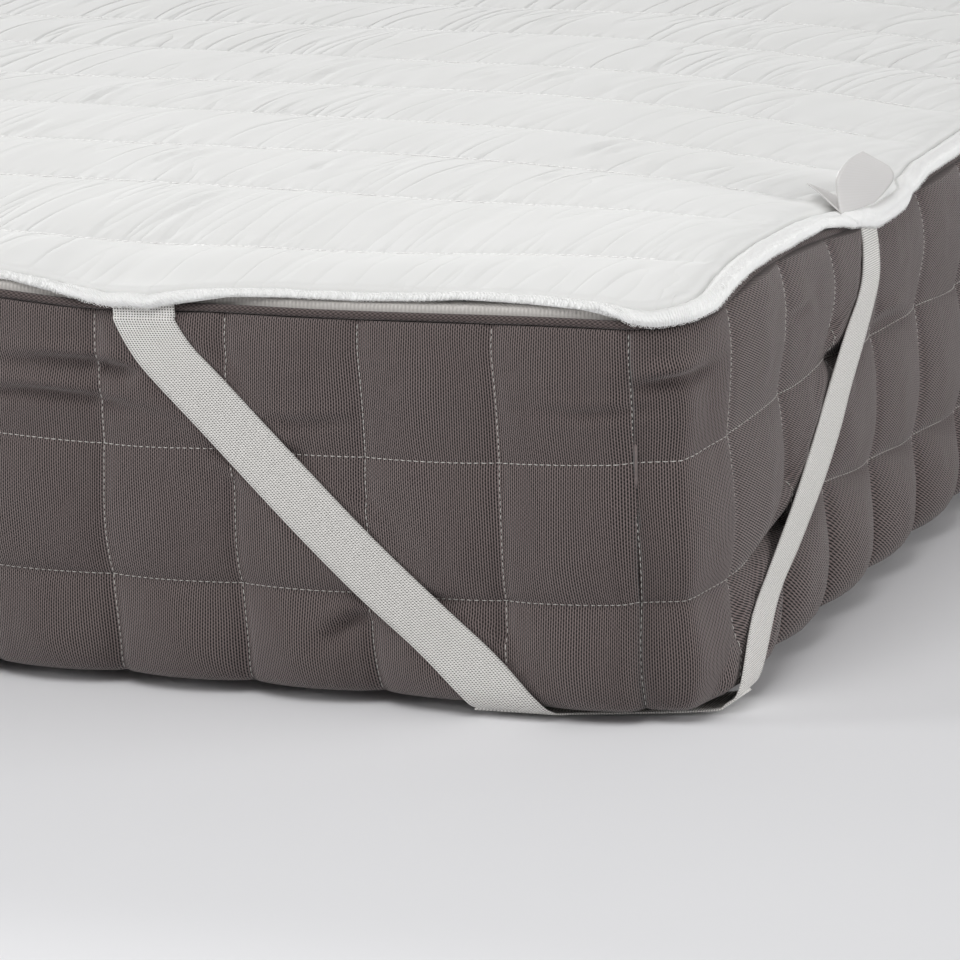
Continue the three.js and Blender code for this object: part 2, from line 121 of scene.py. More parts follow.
def addNode(tree, kind, settings=None, links=None):
    # a node, what its properties and sockets are set to, and the nodes or outputs they are linked to;
    # a math node's kind names its operation too, and mixes are of colours
    kind, *operation = kind.split()
    node = tree.nodes.new("ShaderNode" + kind)
    if operation:
        node.operation = operation[0]
    if kind == "Mix":
        node.data_type = "RGBA"
    for name, value in (settings or {}).items():
        if isinstance(value, str) and value.startswith("#"):
            value = srgb(value)
        if isinstance(name, str) and hasattr(node, name):
            setattr(node, name, value)
        else:
            node.inputs[name].default_value = value
    for name, source in (links or {}).items():
        if isinstance(source, bpy.types.Node):
            source = source.outputs[2 if source.type == "MIX" else 0]  # a mix gives its colour
        tree.links.new(source, node.inputs[name])
    return node


def newMaterial(name):
    # a material, and the function that adds nodes to it
    material = bpy.data.materials.new(name)
    material.use_nodes = True
    material.node_tree.nodes.clear()
    return material, partial(addNode, material.node_tree)


def finishMaterial(add, settings, links):
    shader = add("BsdfPrincipled", settings, links)
    add("OutputMaterial", links={"Surface": shader})


def threadWaves(add, vector, acrossPitch, alongPitch):
    # a wave across the cloth and one along it, from -1 to 1
    parts = add("SeparateXYZ", links={0: vector})
    waves = []
    for axis, pitch in (("X", acrossPitch), ("Y", alongPitch)):
        scaled = add("Math MULTIPLY", {1: 2 * halfTurn / (pitch * mm)}, {0: parts.outputs[axis]})
        waves.append(add("Math SINE", links={0: scaled}))
    return waves


def dotPattern(add, waves):
    # rows of dots, each row set off by half a step: from -1 to 1
    return add("Math MULTIPLY", links=dict(enumerate(waves)))


borderCloth = {
    "cloth": "#796c6a",
    "hole": "#080606",
    "worn": "#817472",
    "walePitch": 2.8,  # two wales; the real ones are 1.2 mm, drawn a little coarser
    "coursePitch": 2.2,
    "depth": 0.75,
    "sideLay": (0.52, 0.86, 1.3),  # on a long side: share along, pull by height, share up
}


def polyesterNetKnit(name, look):
    # a dark net knit: small offset holes between upright wales, matt, a little lighter in patches
    material, add = newMaterial(name)
    threads = add("UVMap", {"uv_map": "threads"})
    waves = threadWaves(add, threads, look["walePitch"], look["coursePitch"])
    # gaps run between the wales, deepest at the holes, which lie offset along them
    gaps = add("Math MULTIPLY", links={0: waves[0], 1: waves[0]})
    dots = dotPattern(add, waves)
    holes = add("Math MULTIPLY_ADD", {1: 0.35, 2: -0.4}, {0: dots})
    depth = add("Math ADD", links={0: gaps, 1: holes})
    dark = add("MapRange", {"interpolation_type": "SMOOTHSTEP", 1: -0.35, 2: 0.55}, {0: depth})
    place = add("TexCoord").outputs["Object"]
    fibre = add("TexNoise", {"Scale": 900, "Detail": 3}, {"Vector": place})
    patch = add("TexNoise", {"Scale": 9, "Detail": 4}, {"Vector": place})
    base = add("Mix", {6: look["cloth"], 7: look["worn"]}, {0: patch})
    holed = add("Mix", {7: look["hole"]}, {0: dark, 6: base})
    lit = add("Mix", {"blend_type": "SOFT_LIGHT", 0: 0.25}, {6: holed, 7: fibre})
    height = add("Math MULTIPLY_ADD", {1: 0.25}, {0: fibre, 2: depth})
    bump = add("Bump", {"Strength": 0.6, "Distance": look["depth"] * mm, "invert": True},
               {"Height": height})
    finishMaterial(add, {"Roughness": 0.92, "Sheen Weight": 0.25, "Sheen Roughness": 0.5,
                         "Specular IOR Level": 0.2}, {"Base Color": lit, "Normal": bump})
    return material


threadLook = {"colour": "#cfccc8", "shade": "#b4b0ac"}


def spunPolyesterThread(name, look):
    # sewing thread: pale, matt, its twist gives a faint mottling
    material, add = newMaterial(name)
    place = add("TexCoord").outputs["Object"]
    twist = add("TexNoise", {"Scale": 1400, "Detail": 2}, {"Vector": place})
    colour = add("Mix", {6: look["shade"], 7: look["colour"]}, {0: twist})
    bump = add("Bump", {"Strength": 0.4, "Distance": 0.1 * mm}, {"Height": twist})
    finishMaterial(add, {"Roughness": 0.75, "Specular IOR Level": 0.3},
                   {"Base Color": colour, "Normal": bump})
    return material


cordLook = {"colour": "#6c605e", "dark": "#2e2827", "ribPitch": 3.2, "roundPitch": 2.4, "depth": 0.4}


def ribbedCordCloth(name, look):
    # cord covered in the border's knit: ribs run round it, dark between them
    material, add = newMaterial(name)
    threads = add("UVMap", {"uv_map": "threads"})
    ribs = dotPattern(add, threadWaves(add, threads, look["ribPitch"], look["roundPitch"]))
    raised = add("MapRange", {1: 0.7, 2: -0.7}, {0: ribs})
    colour = add("Mix", {6: look["dark"], 7: look["colour"]}, {0: raised})
    bump = add("Bump", {"Strength": 0.7, "Distance": look["depth"] * mm, "invert": True}, {"Height": ribs})
    finishMaterial(add, {"Roughness": 0.9, "Specular IOR Level": 0.2, "Sheen Weight": 0.2},
                   {"Base Color": colour, "Normal": bump})
    return material


panelLook = {"colour": "#cfcbc7", "dark": "#bab6b2", "pitch": 2.4, "depth": 0.3}


def stretchPanelKnit(name, look):
    # light grey stretch knit of a mattress's top: fine even loops, soft and matt
    material, add = newMaterial(name)
    place = add("TexCoord").outputs["Object"]
    loops = dotPattern(add, threadWaves(add, place, look["pitch"], look["pitch"]))
    between = add("MapRange", {1: -0.6, 2: 0.9}, {0: loops})
    fibre = add("TexNoise", {"Scale": 700, "Detail": 3}, {"Vector": place})
    colour = add("Mix", {6: look["colour"], 7: look["dark"]}, {0: between})
    lit = add("Mix", {"blend_type": "SOFT_LIGHT", 0: 0.3}, {6: colour, 7: fibre})
    bump = add("Bump", {"Strength": 0.5, "Distance": look["depth"] * mm, "invert": True}, {"Height": loops})
    finishMaterial(add, {"Roughness": 0.9, "Sheen Weight": 0.2, "Specular IOR Level": 0.2},
                   {"Base Color": lit, "Normal": bump})
    return material


quiltLook = {
    "colour": "#e6e6e5",
    "shade": "#dfdfdd",
    "weavePitch": 1.2,  # the real weave is too fine to show, so it is drawn coarser
    "weaveDepth": 0.08,
    "seamPitch": 100,
    "firstSeam": 75,
    "creases": {"apart": 19, "long": 150, "slant": 0.24, "deep": 1.15},
    "puckers": {"apart": 8, "long": 16, "deep": 1.5},
    "overlock": {"wide": 5.0, "pitch": 2.1, "deep": 0.22, "uneven": 12, "colour": "#f6f6f5"},
}


def brushedCottonPercale(name, look):
    # white cotton over wadding: a plain weave, and thin cloth, so it creases crisply between soft
    # swells and puckers where the sewn lines draw it in
    material, add = newMaterial(name)
    creases, puckers, bound = look["creases"], look["puckers"], look["overlock"]
    place = add("TexCoord").outputs["Object"]
    weave = dotPattern(add, threadWaves(add, place, look["weavePitch"], look["weavePitch"]))
    flat = add("UVMap", {"uv_map": "threads"})
    parts = add("SeparateXYZ", links={0: flat})
    across, along = parts.outputs["X"], parts.outputs["Y"]
    channel = add("Math MULTIPLY_ADD", {1: 1 / (look["seamPitch"] * mm),
                                        2: -look["firstSeam"] / look["seamPitch"]}, {0: along})
    number = add("Math FLOOR", links={0: channel})
    nearSeam = add("Math PINGPONG", {1: 0.5}, {0: channel})
    layer = add("Math MULTIPLY", {1: 3.3}, {0: number})
    slid = add("Math MULTIPLY_ADD", {1: -creases["slant"]}, {0: along, 2: across})
    # creases run from one sewn line to the next, other ones in each channel
    apart = add("Math MULTIPLY", {1: 1 / (creases["apart"] * mm)}, {0: slid})
    long = add("Math MULTIPLY", {1: 1 / (creases["long"] * mm)}, {0: along})
    spot = add("CombineXYZ", links={0: apart, 1: long, 2: layer})
    folded = add("TexNoise", {"Scale": 1, "Detail": 1.4, "Roughness": 0.4}, {"Vector": spot})
    centred = add("Math SUBTRACT", {1: 0.5}, {0: folded})
    ridged = add("Math ABSOLUTE", links={0: centred})
    swell = add("MapRange", {1: 0, 2: 0.075}, {0: ridged})
    puffed = add("Math POWER", {1: 0.6}, {0: swell})
    # they come in patches, and fewer near the foot end, where the cloth is pulled flat
    patch = add("TexNoise", {"Scale": 6, "Detail": 2}, {"Vector": place})
    pulled = add("MapRange", {1: 0.0, 2: 0.7, 3: -0.22, 4: 0.03}, {0: along})
    often = add("Math ADD", links={0: patch, 1: pulled})
    amount = add("MapRange", {1: 0.38, 2: 0.58, 3: 0.25, 4: 1}, {0: often})
    creased = add("Math MULTIPLY", links={0: puffed, 1: amount})
    # puckers fade away from the sewn lines
    close = add("Math MULTIPLY", {1: 1 / (puckers["apart"] * mm)}, {0: slid})
    seamSpot = add("CombineXYZ", links={0: close, 1: layer})
    drawn = add("TexNoise", {"Scale": 1, "Detail": 1}, {"Vector": seamSpot})
    fade = add("MapRange", {"interpolation_type": "SMOOTHSTEP", 1: 0.0,
                            2: puckers["long"] / look["seamPitch"], 3: 1, 4: 0}, {0: nearSeam})
    puckered = add("Math MULTIPLY", links={0: drawn, 1: fade})
    # the edge is bound with white thread wrapped over it: fine uneven stripes across the band
    insets = []
    for output, centre, half in ((across, 0, halfWidth), (along, halfLength, halfLength)):
        off = add("Math SUBTRACT", {1: centre * mm}, {0: output})
        away = add("Math ABSOLUTE", links={0: off})
        insets.append(add("Math SUBTRACT", {0: half * mm}, {1: away}))
    inset = add("Math MINIMUM", links=dict(enumerate(insets)))
    band = add("MapRange", {1: bound["wide"] * mm, 2: 1.9 * bound["wide"] * mm, 3: 1, 4: 0}, {0: inset})
    jitter = add("TexNoise", {"Scale": 160, "Detail": 2}, {"Vector": flat})
    uneven = add("Math MULTIPLY", {1: bound["uneven"]}, {0: jitter})
    travelled = add("Math ADD", links={0: across, 1: along})
    turns = add("Math MULTIPLY_ADD", {1: 2 * halfTurn / (bound["pitch"] * mm)}, {0: travelled, 2: uneven})
    wrapped = add("Math SINE", links={0: turns})
    stripes = add("Math MULTIPLY", links={0: wrapped, 1: band})
    cloudy = add("TexNoise", {"Scale": 14, "Detail": 3}, {"Vector": place})
    cloth = add("Mix", {6: look["shade"], 7: look["colour"]}, {0: cloudy})
    colour = add("Mix", {7: bound["colour"]}, {0: band, 6: cloth})
    links = {}
    for height, deep, strength in ((weave, look["weaveDepth"], 0.12), (stripes, bound["deep"], 0.8),
                                   (puckered, puckers["deep"], 1), (creased, creases["deep"], 1)):
        links["Normal"] = add("Bump", {"Strength": strength, "Distance": deep * mm},
                              {"Height": height, **links})
    finishMaterial(add, {"Roughness": 0.85, "Sheen Weight": 0.15, "Sheen Roughness": 0.6,
                         "Specular IOR Level": 0.25}, {"Base Color": colour, **links})
    return material


overlockLook = {"colour": "#fafaf9", "shade": "#f0f0ee"}

# the real lattice is 1.1 mm, drawn a little coarser
tapeLook = {"colour": "#e6e4e0", "dark": "#171615", "cell": 1.5, "depth": 0.2}


def wovenElasticTape(name, look):
    # pale woven elastic: rubber cords bound in a small lattice, a dark gap between crossings
    material, add = newMaterial(name)
    threads = add("UVMap", {"uv_map": "threads"})
    waves = threadWaves(add, threads, look["cell"], look["cell"])
    lattice = add("Math ADD", links=dict(enumerate(waves)))
    gap = add("MapRange", {"interpolation_type": "SMOOTHSTEP", 1: 0.4, 2: 1.5}, {0: lattice})
    place = add("TexCoord").outputs["Object"]
    fibre = add("TexNoise", {"Scale": 1200, "Detail": 2}, {"Vector": place})
    colour = add("Mix", {6: look["colour"], 7: look["dark"]}, {0: gap})
    lit = add("Mix", {"blend_type": "SOFT_LIGHT", 0: 0.2}, {6: colour, 7: fibre})
    bump = add("Bump", {"Strength": 0.5, "Distance": look["depth"] * mm, "invert": True},
               {"Height": lattice})
    finishMaterial(add, {"Roughness": 0.7, "Specular IOR Level": 0.3}, {"Base Color": lit, "Normal": bump})
    return material


labelLook = {"colour": "#cecccb", "shade": "#cccac8", "pitch": 1.4, "depth": 0.03}


def wovenLabelRibbon(name, look):
    # smooth nylon ribbon: faint lines along it and a soft shine
    material, add = newMaterial(name)
    threads = add("UVMap", {"uv_map": "threads"})
    lines = threadWaves(add, threads, look["pitch"], look["pitch"])[1]
    share = add("MapRange", {1: -1, 2: 1}, {0: lines})
    colour = add("Mix", {6: look["shade"], 7: look["colour"]}, {0: share})
    bump = add("Bump", {"Strength": 0.08, "Distance": look["depth"] * mm}, {"Height": lines})
    finishMaterial(add, {"Roughness": 0.45, "Specular IOR Level": 0.45},
                   {"Base Color": colour, "Normal": bump})
    return material


def addPiece(name, mesh, material, slotName, *nodes):
    for polygon in mesh.polygons:
        polygon.use_smooth = True
    mesh.materials.append(material)
    piece = bpy.data.objects.new(name, mesh)
    bpy.context.scene.collection.objects.link(piece)
    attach(piece, "root")
    if nodes:
        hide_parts(*nodes)
    print(name, sum(len(polygon.vertices) - 2 for polygon in mesh.polygons), "triangles")
    return piece


def bentGrid(acrossPlaces, alongPlaces, spot, threadSpot=lambda a, b: (a, b)):
    # a flat grid whose lines are moved to the given places and bent to the spots there
    bm = bmesh.new()
    across, along = len(acrossPlaces) - 1, len(alongPlaces) - 1
    bmesh.ops.create_grid(bm, x_segments=across, y_segments=along, size=1)
    threads = bm.loops.layers.uv.new("threads")
    lines = {}
    for vert in bm.verts:
        i = round((vert.co.x + 1) / 2 * across)
        j = round((vert.co.y + 1) / 2 * along)
        lines[vert] = (acrossPlaces[i], alongPlaces[j])
    for vert, (a, b) in lines.items():
        vert.co = Vector(spot(a, b)) * mm
    for face in bm.faces:
        for loop in face.loops:
            u, v = threadSpot(*lines[loop.vert])
            loop[threads].uv = (u * mm, v * mm)
    return bm


def asMesh(bm, name):
    mesh = bpy.data.meshes.new(name)
    bm.to_mesh(mesh)
    bm.free()
    return mesh


def closedMesh(bm, name):
    bmesh.ops.remove_doubles(bm, verts=bm.verts, dist=weld * mm)
    bmesh.ops.recalc_face_normals(bm, faces=bm.faces)
    return asMesh(bm, name)


def threadMesh(name, paths, radius):
    # short lengths of thread: each path is a list of points and a share of the radius at each
    curve = bpy.data.curves.new(name, "CURVE")
    curve.dimensions = "3D"
    curve.bevel_depth = radius * mm
    curve.bevel_resolution = 0
    curve.use_fill_caps = True
    for path in paths:
        spline = curve.splines.new("POLY")
        spline.points.add(len(path) - 1)
        for point, (spot, share) in zip(spline.points, path):
            point.co = (*(Vector(spot) * mm), 1)
            point.radius = share
    holder = bpy.data.objects.new(name, curve)
    bpy.context.scene.collection.objects.link(holder)
    depsgraph = bpy.context.evaluated_depsgraph_get()
    made = bpy.data.meshes.new_from_object(holder.evaluated_get(depsgraph))
    bpy.data.objects.remove(holder)
    bm = bmesh.new()
    bm.from_mesh(made)
    bpy.data.meshes.remove(made)
    return closedMesh(bm, name)


def nextRing(bm, ring, spots):
    # carries an open rim on to the next ring of spots
    grown = bmesh.ops.extrude_edge_only(bm, edges=ring)["geom"]
    verts = [item for item in grown if isinstance(item, bmesh.types.BMVert)]
    for vert in verts:
        vert.co = spots(vert.co)
    return verts, [item for item in grown if isinstance(item, bmesh.types.BMEdge) and item.is_boundary]


def closeRim(bm, ring, height):
    # draws an open rim together at one point over the middle
    verts, edges = nextRing(bm, ring, lambda co: co)
    bmesh.ops.pointmerge(bm, verts=verts, merge_co=(0, 0, height * mm))


mattress = {
    "cornerRadius": 50,
    "leastRadius": 8,
    "seamHeight": 232,
    # rows of stitches, from the bottom seam to the top one: height, and how far back they lie
    "rows": [(8, 14), (69.5, 5), (151, 2), (232, 1.5)],
    "cornerSquare": (28, 43),
    "squares": (21, 16),  # between two corners, on a side and on an end
    # its turns inwards above and below: how far in, height
    "upperside": [(7, 232), (30, 232)],
    "underside": [(70, 4.5), (150, 0)],
    # uneven edge: x, y, reach in x, reach in y, height
    "rises": [(700, -870, 260, 215, 13), (700, -1000, 260, 110, -3.3), (440, -1000, 200, 220, -2.4),
              (330, -1000, 90, 150, -3.6), (-700, -560, 260, 400, -4),
              (-700, 820, 260, 260, 8), (700, 380, 260, 420, -5), (-150, 1000, 420, 220, 5)],
}
pipingShape = {"radius": 2.6, "inset": 0.9, "gap": 0.3, "slack": 0.15, "around": 10, "steps": 1000}
panelShape = {
    "edge": 8.2,
    "crown": 24.5,
    "reach": 310,
    "steps": 700,
    # its rolled edge: inset, height where the hem droops over it, height where the hem stands off
    "edgeRows": [(30, 0.3, 0.3), (4.2, 0.3, 0.3), (4.1, 2.4, 3.2), (4.2, 4.6, 6.5), (5.2, 6.4, 9.0),
                 (8, 7.3, 9.8), (13, 8.0, 10)],
    "standOff": (6, 9),
    "insets": [20, 32, 50, 75, 105, 140, 180, 230, 290, 340],
    "under": 0.1,
    "rimApart": 200,  # between its two rims, from the edge
}

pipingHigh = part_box("top_piping")[1]
halfWidth = pipingHigh.x / mm - pipingShape["radius"] + pipingShape["inset"]
halfLength = pipingHigh.y / mm - pipingShape["radius"] + pipingShape["inset"]
cornerRadius = mattress["cornerRadius"]
seamHeight = mattress["seamHeight"]
rowHeights = [row[0] for row in mattress["rows"]]
quarterArc = halfTurn / 2 * cornerRadius
sideStep = 2 * (halfLength - cornerRadius) + quarterArc
endStep = 2 * (halfWidth - cornerRadius) + quarterArc
outlineLength = 2 * (sideStep + endStep)
cornerMiddles = [0, sideStep, sideStep + endStep, 2 * sideStep + endStep, outlineLength]


def risen(x, y, z):
    # everything near the top follows the mattress's uneven edge
    rise = sum(height * bell((x - atX) / reachX) * bell((y - atY) / reachY)
               for atX, atY, reachX, reachY, height in mattress["rises"])
    return Vector((x, y, z + rise * clamp(z / seamHeight)))


def outlineSpot(travel, inset):
    # a place round the mattress, moved in by the inset, and the way outwards from it
    radius = max(cornerRadius - inset, mattress["leastRadius"])
    halfX, halfY = halfWidth - inset - radius, halfLength - inset - radius
    left = (travel + quarterArc / 2) % outlineLength
    corners = [(1, -1), (1, 1), (-1, 1), (-1, -1)]
    for n, (signX, signY) in enumerate(corners):
        step = sideStep if n % 2 == 0 else endStep
        if left <= step or n == 3:
            turn = halfTurn / 2 * (n - 1) + clamp(left / quarterArc) * halfTurn / 2
            along = clamp((left - quarterArc) / (step - quarterArc))
            nextX, nextY = corners[(n + 1) % 4]
            x = blend(signX, nextX, along) * halfX + radius * math.cos(turn)
            y = blend(signY, nextY, along) * halfY + radius * math.sin(turn)
            return x, y, math.cos(turn), math.sin(turn)
        left -= step


def crown(x, y):
    # height of the top panel over the seam
    swells = [1 - (1 - clamp((half - abs(v)) / panelShape["reach"])) ** 2
              for half, v in ((halfWidth, x), (halfLength, y))]
    return panelShape["edge"] + panelShape["crown"] * swells[0] * swells[1]


def cornerDistance(travel):
    # whether a place round the mattress is on a side, and how far it is from the square corner
    middle = min(cornerMiddles, key=lambda m: abs(m - travel))
    after = travel > middle
    onSide = after if cornerMiddles.index(middle) % 2 == 0 else not after
    return onSide, abs(travel - middle) - quarterArc / 2 + cornerRadius


# where the straps run: the border under them needs it, because it is pressed in there
straps = {
    "width": 33,
    "thickness": 1.1,
    "steps": (150, 8),  # along the band and across it
    "slant": 1.7,
    # drawn narrower where it is sewn in: distance down, share
    "gathered": {"endLeg": [(0, 1)], "sideLeg": [(0, 0.8), (40, 0.84), (75, 1)]},
    # distance below the seam, distance from the corner, distance off the side
    "endLeg": [(5, 334, 5), (20, 325, 5), (36, 311, 5.2), (72, 276, 5), (124, 224, 5.2), (162, 183, 5),
               (192, 148, 5), (216, 124, 5)],
    "sideLeg": [(12, 303, 6), (33, 294, 8.2), (60, 263, 8.4), (90, 229, 7.8), (112, 203, 8), (135, 169, 8.4),
                (160, 126, 8), (181, 89, 7.4), (216, 66, 5.5)],
    # the sewn end in the hem, then the turn under the mattress: step, height, off the side
    "tuck": [(1.5, 237.5, 3.3), (0.5, 231, 4.4)],
    "endTurn": [(-8, 6.5, -2), (-18, 3.2, -14)],
    "sideTurn": [(-3, 6.5, -2), (-8, 3.2, -14)],
    # how the border is held in: reach from the corner, gap under the band, slope beside it, free of it
    "hold": (380, 0.6, 0.5, 99),
}


def strapBand(key):
    # one leg: distance below the seam, distance from the corner, half its width, distance off the side
    leg = straps[key]
    band = []
    for n, (drop, along, off) in enumerate(leg):
        above, below = leg[max(n - 1, 0)], leg[min(n + 1, len(leg) - 1)]
        fall = below[0] - above[0]
        slant = math.hypot(fall, below[1] - above[1]) / fall
        spread = straps["width"] / 2 * min(slant, straps["slant"]) * readTable(straps["gathered"][key], drop)
        band.append((drop, along, spread, off))
    return band


strapBands = {key: strapBand(key) for key in ("endLeg", "sideLeg")}


def strapPress(travel, height):
    # how far the border may stand out here, less under a strap, and how far away the strap is
    reach, gap, slope, free = straps["hold"]
    onSide, along = cornerDistance(travel)
    if along > reach:
        return free, free
    band = strapBands["sideLeg" if onSide else "endLeg"]
    middle, spread, off = (readTable(band, seamHeight - height, column) for column in (1, 2, 3))
    beside = max(0, abs(along - middle) - spread)
    return off - gap + max(0, beside - 1) * slope, beside


print("mattress border")
border = {
    "endPuff": 6.2,  # how far the middle of a square stands out
    "sidePuff": 9.2,
    "sideFrom": (50, 60),  # the puff of the side begins at, and takes this far to grow
    "unevenPuff": (0.25, 1 / 3.7, 1 / 5.1, 2),
    "plump": 0.6,  # under 1, so a square rises steeply from its seams
    "sag": (0.9, 0.9, 1.35),  # by row: under 1 it is fullest below its middle
    # how much of the puff its stitched lines have between crossings, by height
    "endLineShare": [(0, 0.45), (232, 0.45)],
    "sideLineShare": [(8, 0.15), (69.5, 0.2), (110, 0.33), (151, 0.4), (190, 0.62), (232, 0.62)],
    "stepsAcross": (20, 9),  # near the corner with the labels, and elsewhere
    "near": (450, 900),  # what counts as near, on both sides of that corner
    "stepsUp": [12, 24, 34],
    "lean": 5,
    "wiggle": (4.2, 40, 70, 1),
    "rowWiggle": (1.2, 90, 90, 8),
    # below the top seam each corner is drawn in on both sides of its edge: depth, round its edge, fade
    "flank": (4.5, 3, 45),
    "waves": [(1.3, 34, 30, 4), (0.5, 12, 11, 5)],
    # level creases below the top seam: least share, fade from the corner, from this height, over, wave
    "level": (0.35, 140, 120, 110, (1.3, 42, 8.5, 6)),
    "puckers": (1.6, 5.5, 5.5, 7),
    # the squares swell up against a strap: share, reach, share of a row that a seam holds back
    "against": (0.8, 14, 0.09),
    # on a side the lines of stitches rise and fall: distance from the corner, lower line, upper line
    "lineLift": [(0, 4, 4), (54, 7, 8), (145, 16, 6), (235, 17, 11), (326, 12, 9), (417, 6, 7), (508, 1, 2),
                 (700, 0, 0)],
    "liftFade": 150,  # on an end they rise only this near the corner
    # pulled folds: place round the mattress, height, half length, half width, depth, tilt
    "folds": [(-355, 199, 92, 4.5, 6.4, -0.07), (-385, 179, 86, 4, 5.6, 0.0), (-4, 200, 36, 5, 6.8, 0.12),
              (-209, 50, 26, 5, 6.0, 0.5), (-47, 182, 60, 4, 2.4, 0.02), (-225, 170, 45, 4, 2.4, 0.03)],
    # more of them round the rest: how many, and from what to what each measure is
    "moreFolds": {"count": 46, "level": (150, 212), "halfLong": (25, 65), "halfWide": (4, 6),
                  "deep": (1.5, 5), "tilt": (-0.12, 0.12), "apart": (120, 500), "byCorner": (-390, 390)},
    "foldBend": (0.0022, 3),  # bend, upwards in folds deeper than this
    "foldReach": 3.5,
    "foldSwell": (0.6, 1.7, 1),  # the swell beside a fold: share of its depth, place, width
}


def squareColumns():
    before, after = mattress["cornerSquare"]
    made = []
    for n, middle in enumerate(cornerMiddles[:4]):
        step, count = (sideStep, mattress["squares"][0]) if n % 2 == 0 else (endStep, mattress["squares"][1])
        pitch = (step - before - after) / count
        made += [middle - before] + [middle + after + k * pitch for k in range(count)]
    return made + [outlineLength - before]


columns = squareColumns()


def scatterFolds():
    # more of the same round the rest of the mattress, half of them by the corners
    dice = random.Random(3)
    made = list(border["folds"])
    more = border["moreFolds"]
    for n in range(more["count"]):
        first, last = more["apart"]
        middle = dice.choice(cornerMiddles[1:4]) if n % 2 else dice.uniform(first, outlineLength - last)
        travel = middle + dice.uniform(*more["byCorner"]) * (n % 2)
        made.append((travel, *(dice.uniform(*more[key])
                               for key in ("level", "halfLong", "halfWide", "deep", "tilt"))))
    return made


folds = scatterFolds()


def foldShape(off, swell, beside, wide):
    # across a fold: a dip, and a lower swell on one side of it
    return math.exp(-off * off) - swell * math.exp(-((off - beside) / wide) ** 2)


def foldDepth(travel, height):
    bend, deepest = border["foldBend"]
    depth = 0.0
    for middle, level, halfLong, halfWide, deep, tilt in folds:
        along = (travel - middle + outlineLength / 2) % outlineLength - outlineLength / 2
        if abs(along) < halfLong:
            curve = bend * along * along * (1 if deep > deepest else -1)
            off = (height - level - tilt * along + curve) / halfWide
            if abs(off) < border["foldReach"]:
                depth += deep * bell(along / halfLong) * foldShape(off, *border["foldSwell"])
    return depth


def lineLift(travel, height):
    # how far the quilting lines lie above their even heights
    onSide, along = cornerDistance(travel % outlineLength)
    near = smooth(1 - along / border["liftFade"])
    lower, upper = ((readTable(border["lineLift"], along, column) if onSide
                     else border["lineLift"][0][column] * near) for column in (1, 2))
    return readTable(list(zip(rowHeights, (0, lower, upper, 0))), height)


def gapAt(edges, at):
    # which of the gaps between the edges a place is in, and its share of the way across it
    n = clamp(bisect.bisect_right(edges, at) - 1, 0, len(edges) - 2)
    return n, clamp((at - edges[n]) / (edges[n + 1] - edges[n]))


def borderOut(travel, height):
    # how far the cloth stands out from the mattress's plain outline
    around = travel % outlineLength
    place = around if around <= columns[-1] else around - outlineLength
    k, u = gapAt(columns, place)
    r, v = gapAt(rowHeights, height)
    back = blend(mattress["rows"][r][1], mattress["rows"][r + 1][1], v)
    onSide, along = cornerDistance(around)
    begin, over = border["sideFrom"]
    towardsSide = smooth((along - begin) / over) if onSide else 0
    puff = blend(border["endPuff"], border["sidePuff"], towardsSide) * (1 + rough(border["unevenPuff"], k, r))
    share = blend(readTable(border["endLineShare"], height), readTable(border["sideLineShare"], height),
                  towardsSide)
    su, sv = (max(math.sin(halfTurn * t), 0) ** border["plump"] for t in (u, v ** border["sag"][r]))
    inner = su * sv  # how far a place is inside its square
    out = (back + puff) * (share * (su + sv) + (1 - 2 * share) * inner) - back
    flank, edge, fade = border["flank"]
    fromCorner = min(abs(around - middle) for middle in cornerMiddles)
    flank *= math.sin(halfTurn * clamp(math.hypot(fromCorner, edge) / (quarterArc / 2)))
    out -= flank * smooth((seamHeight - height) / fade)
    out += inner * sum(rough(wave, travel, height) for wave in border["waves"])
    least, fade, start, over, wave = border["level"]
    amount = (least + math.exp(-along / fade)) * smooth((height - start) / over)
    out += inner * amount * rough(wave, travel, height)
    out -= foldDepth(place, height) * smooth(min(u, 1 - u) * 9 + 0.35)
    # puckers beside the lines of stitches
    out += rough(border["puckers"], travel, height) * (1 - inner) * inner
    press, beside = strapPress(around, height + lineLift(travel, height))
    most, reach, held = border["against"]
    against = most * smooth(1 - beside / reach) * (1 - math.exp(-(min(v, 1 - v) / held) ** 2))
    return min(max(out, blend(out, press, against)), press)


def borderSpot(travel, height, lift=0.0):
    upright = height / seamHeight
    edge = smooth(min(upright, 1 - upright) * 8)
    shift = border["lean"] * (0.5 - upright) + rough(border["wiggle"], travel, height) * edge
    raised = height + rough(border["rowWiggle"], travel, height) * edge + lineLift(travel, height)
    x, y = outlineSpot(travel + shift, -(borderOut(travel, height) + lift))[:2]
    return risen(x, y, raised)


def layKnit(bm):
    # between the corner squares of a long side the knit is pulled askew, and drawn coarser across
    threads = bm.loops.layers.uv["threads"]
    before, after = mattress["cornerSquare"]
    narrow, askew, up = borderCloth["sideLay"]
    for face in bm.faces:
        middle = sum(loop[threads].uv.x for loop in face.loops) / len(face.loops) / mm
        if any(cornerMiddles[n] + after < middle < cornerMiddles[n + 1] - before for n in (0, 2)):
            for loop in face.loops:
                travel, height = loop[threads].uv
                loop[threads].uv = (narrow * travel + askew * height, up * height)


def openRims(bm, first):
    # the open edges of a band, parted into the rim that the test picks and the other one
    bmesh.ops.remove_doubles(bm, verts=bm.verts, dist=weld * mm)
    rims = ([], [])
    for edge in bm.edges:
        if edge.is_boundary:
            rims[0 if first(edge.verts[0].co / mm) else 1].append(edge)
    return rims


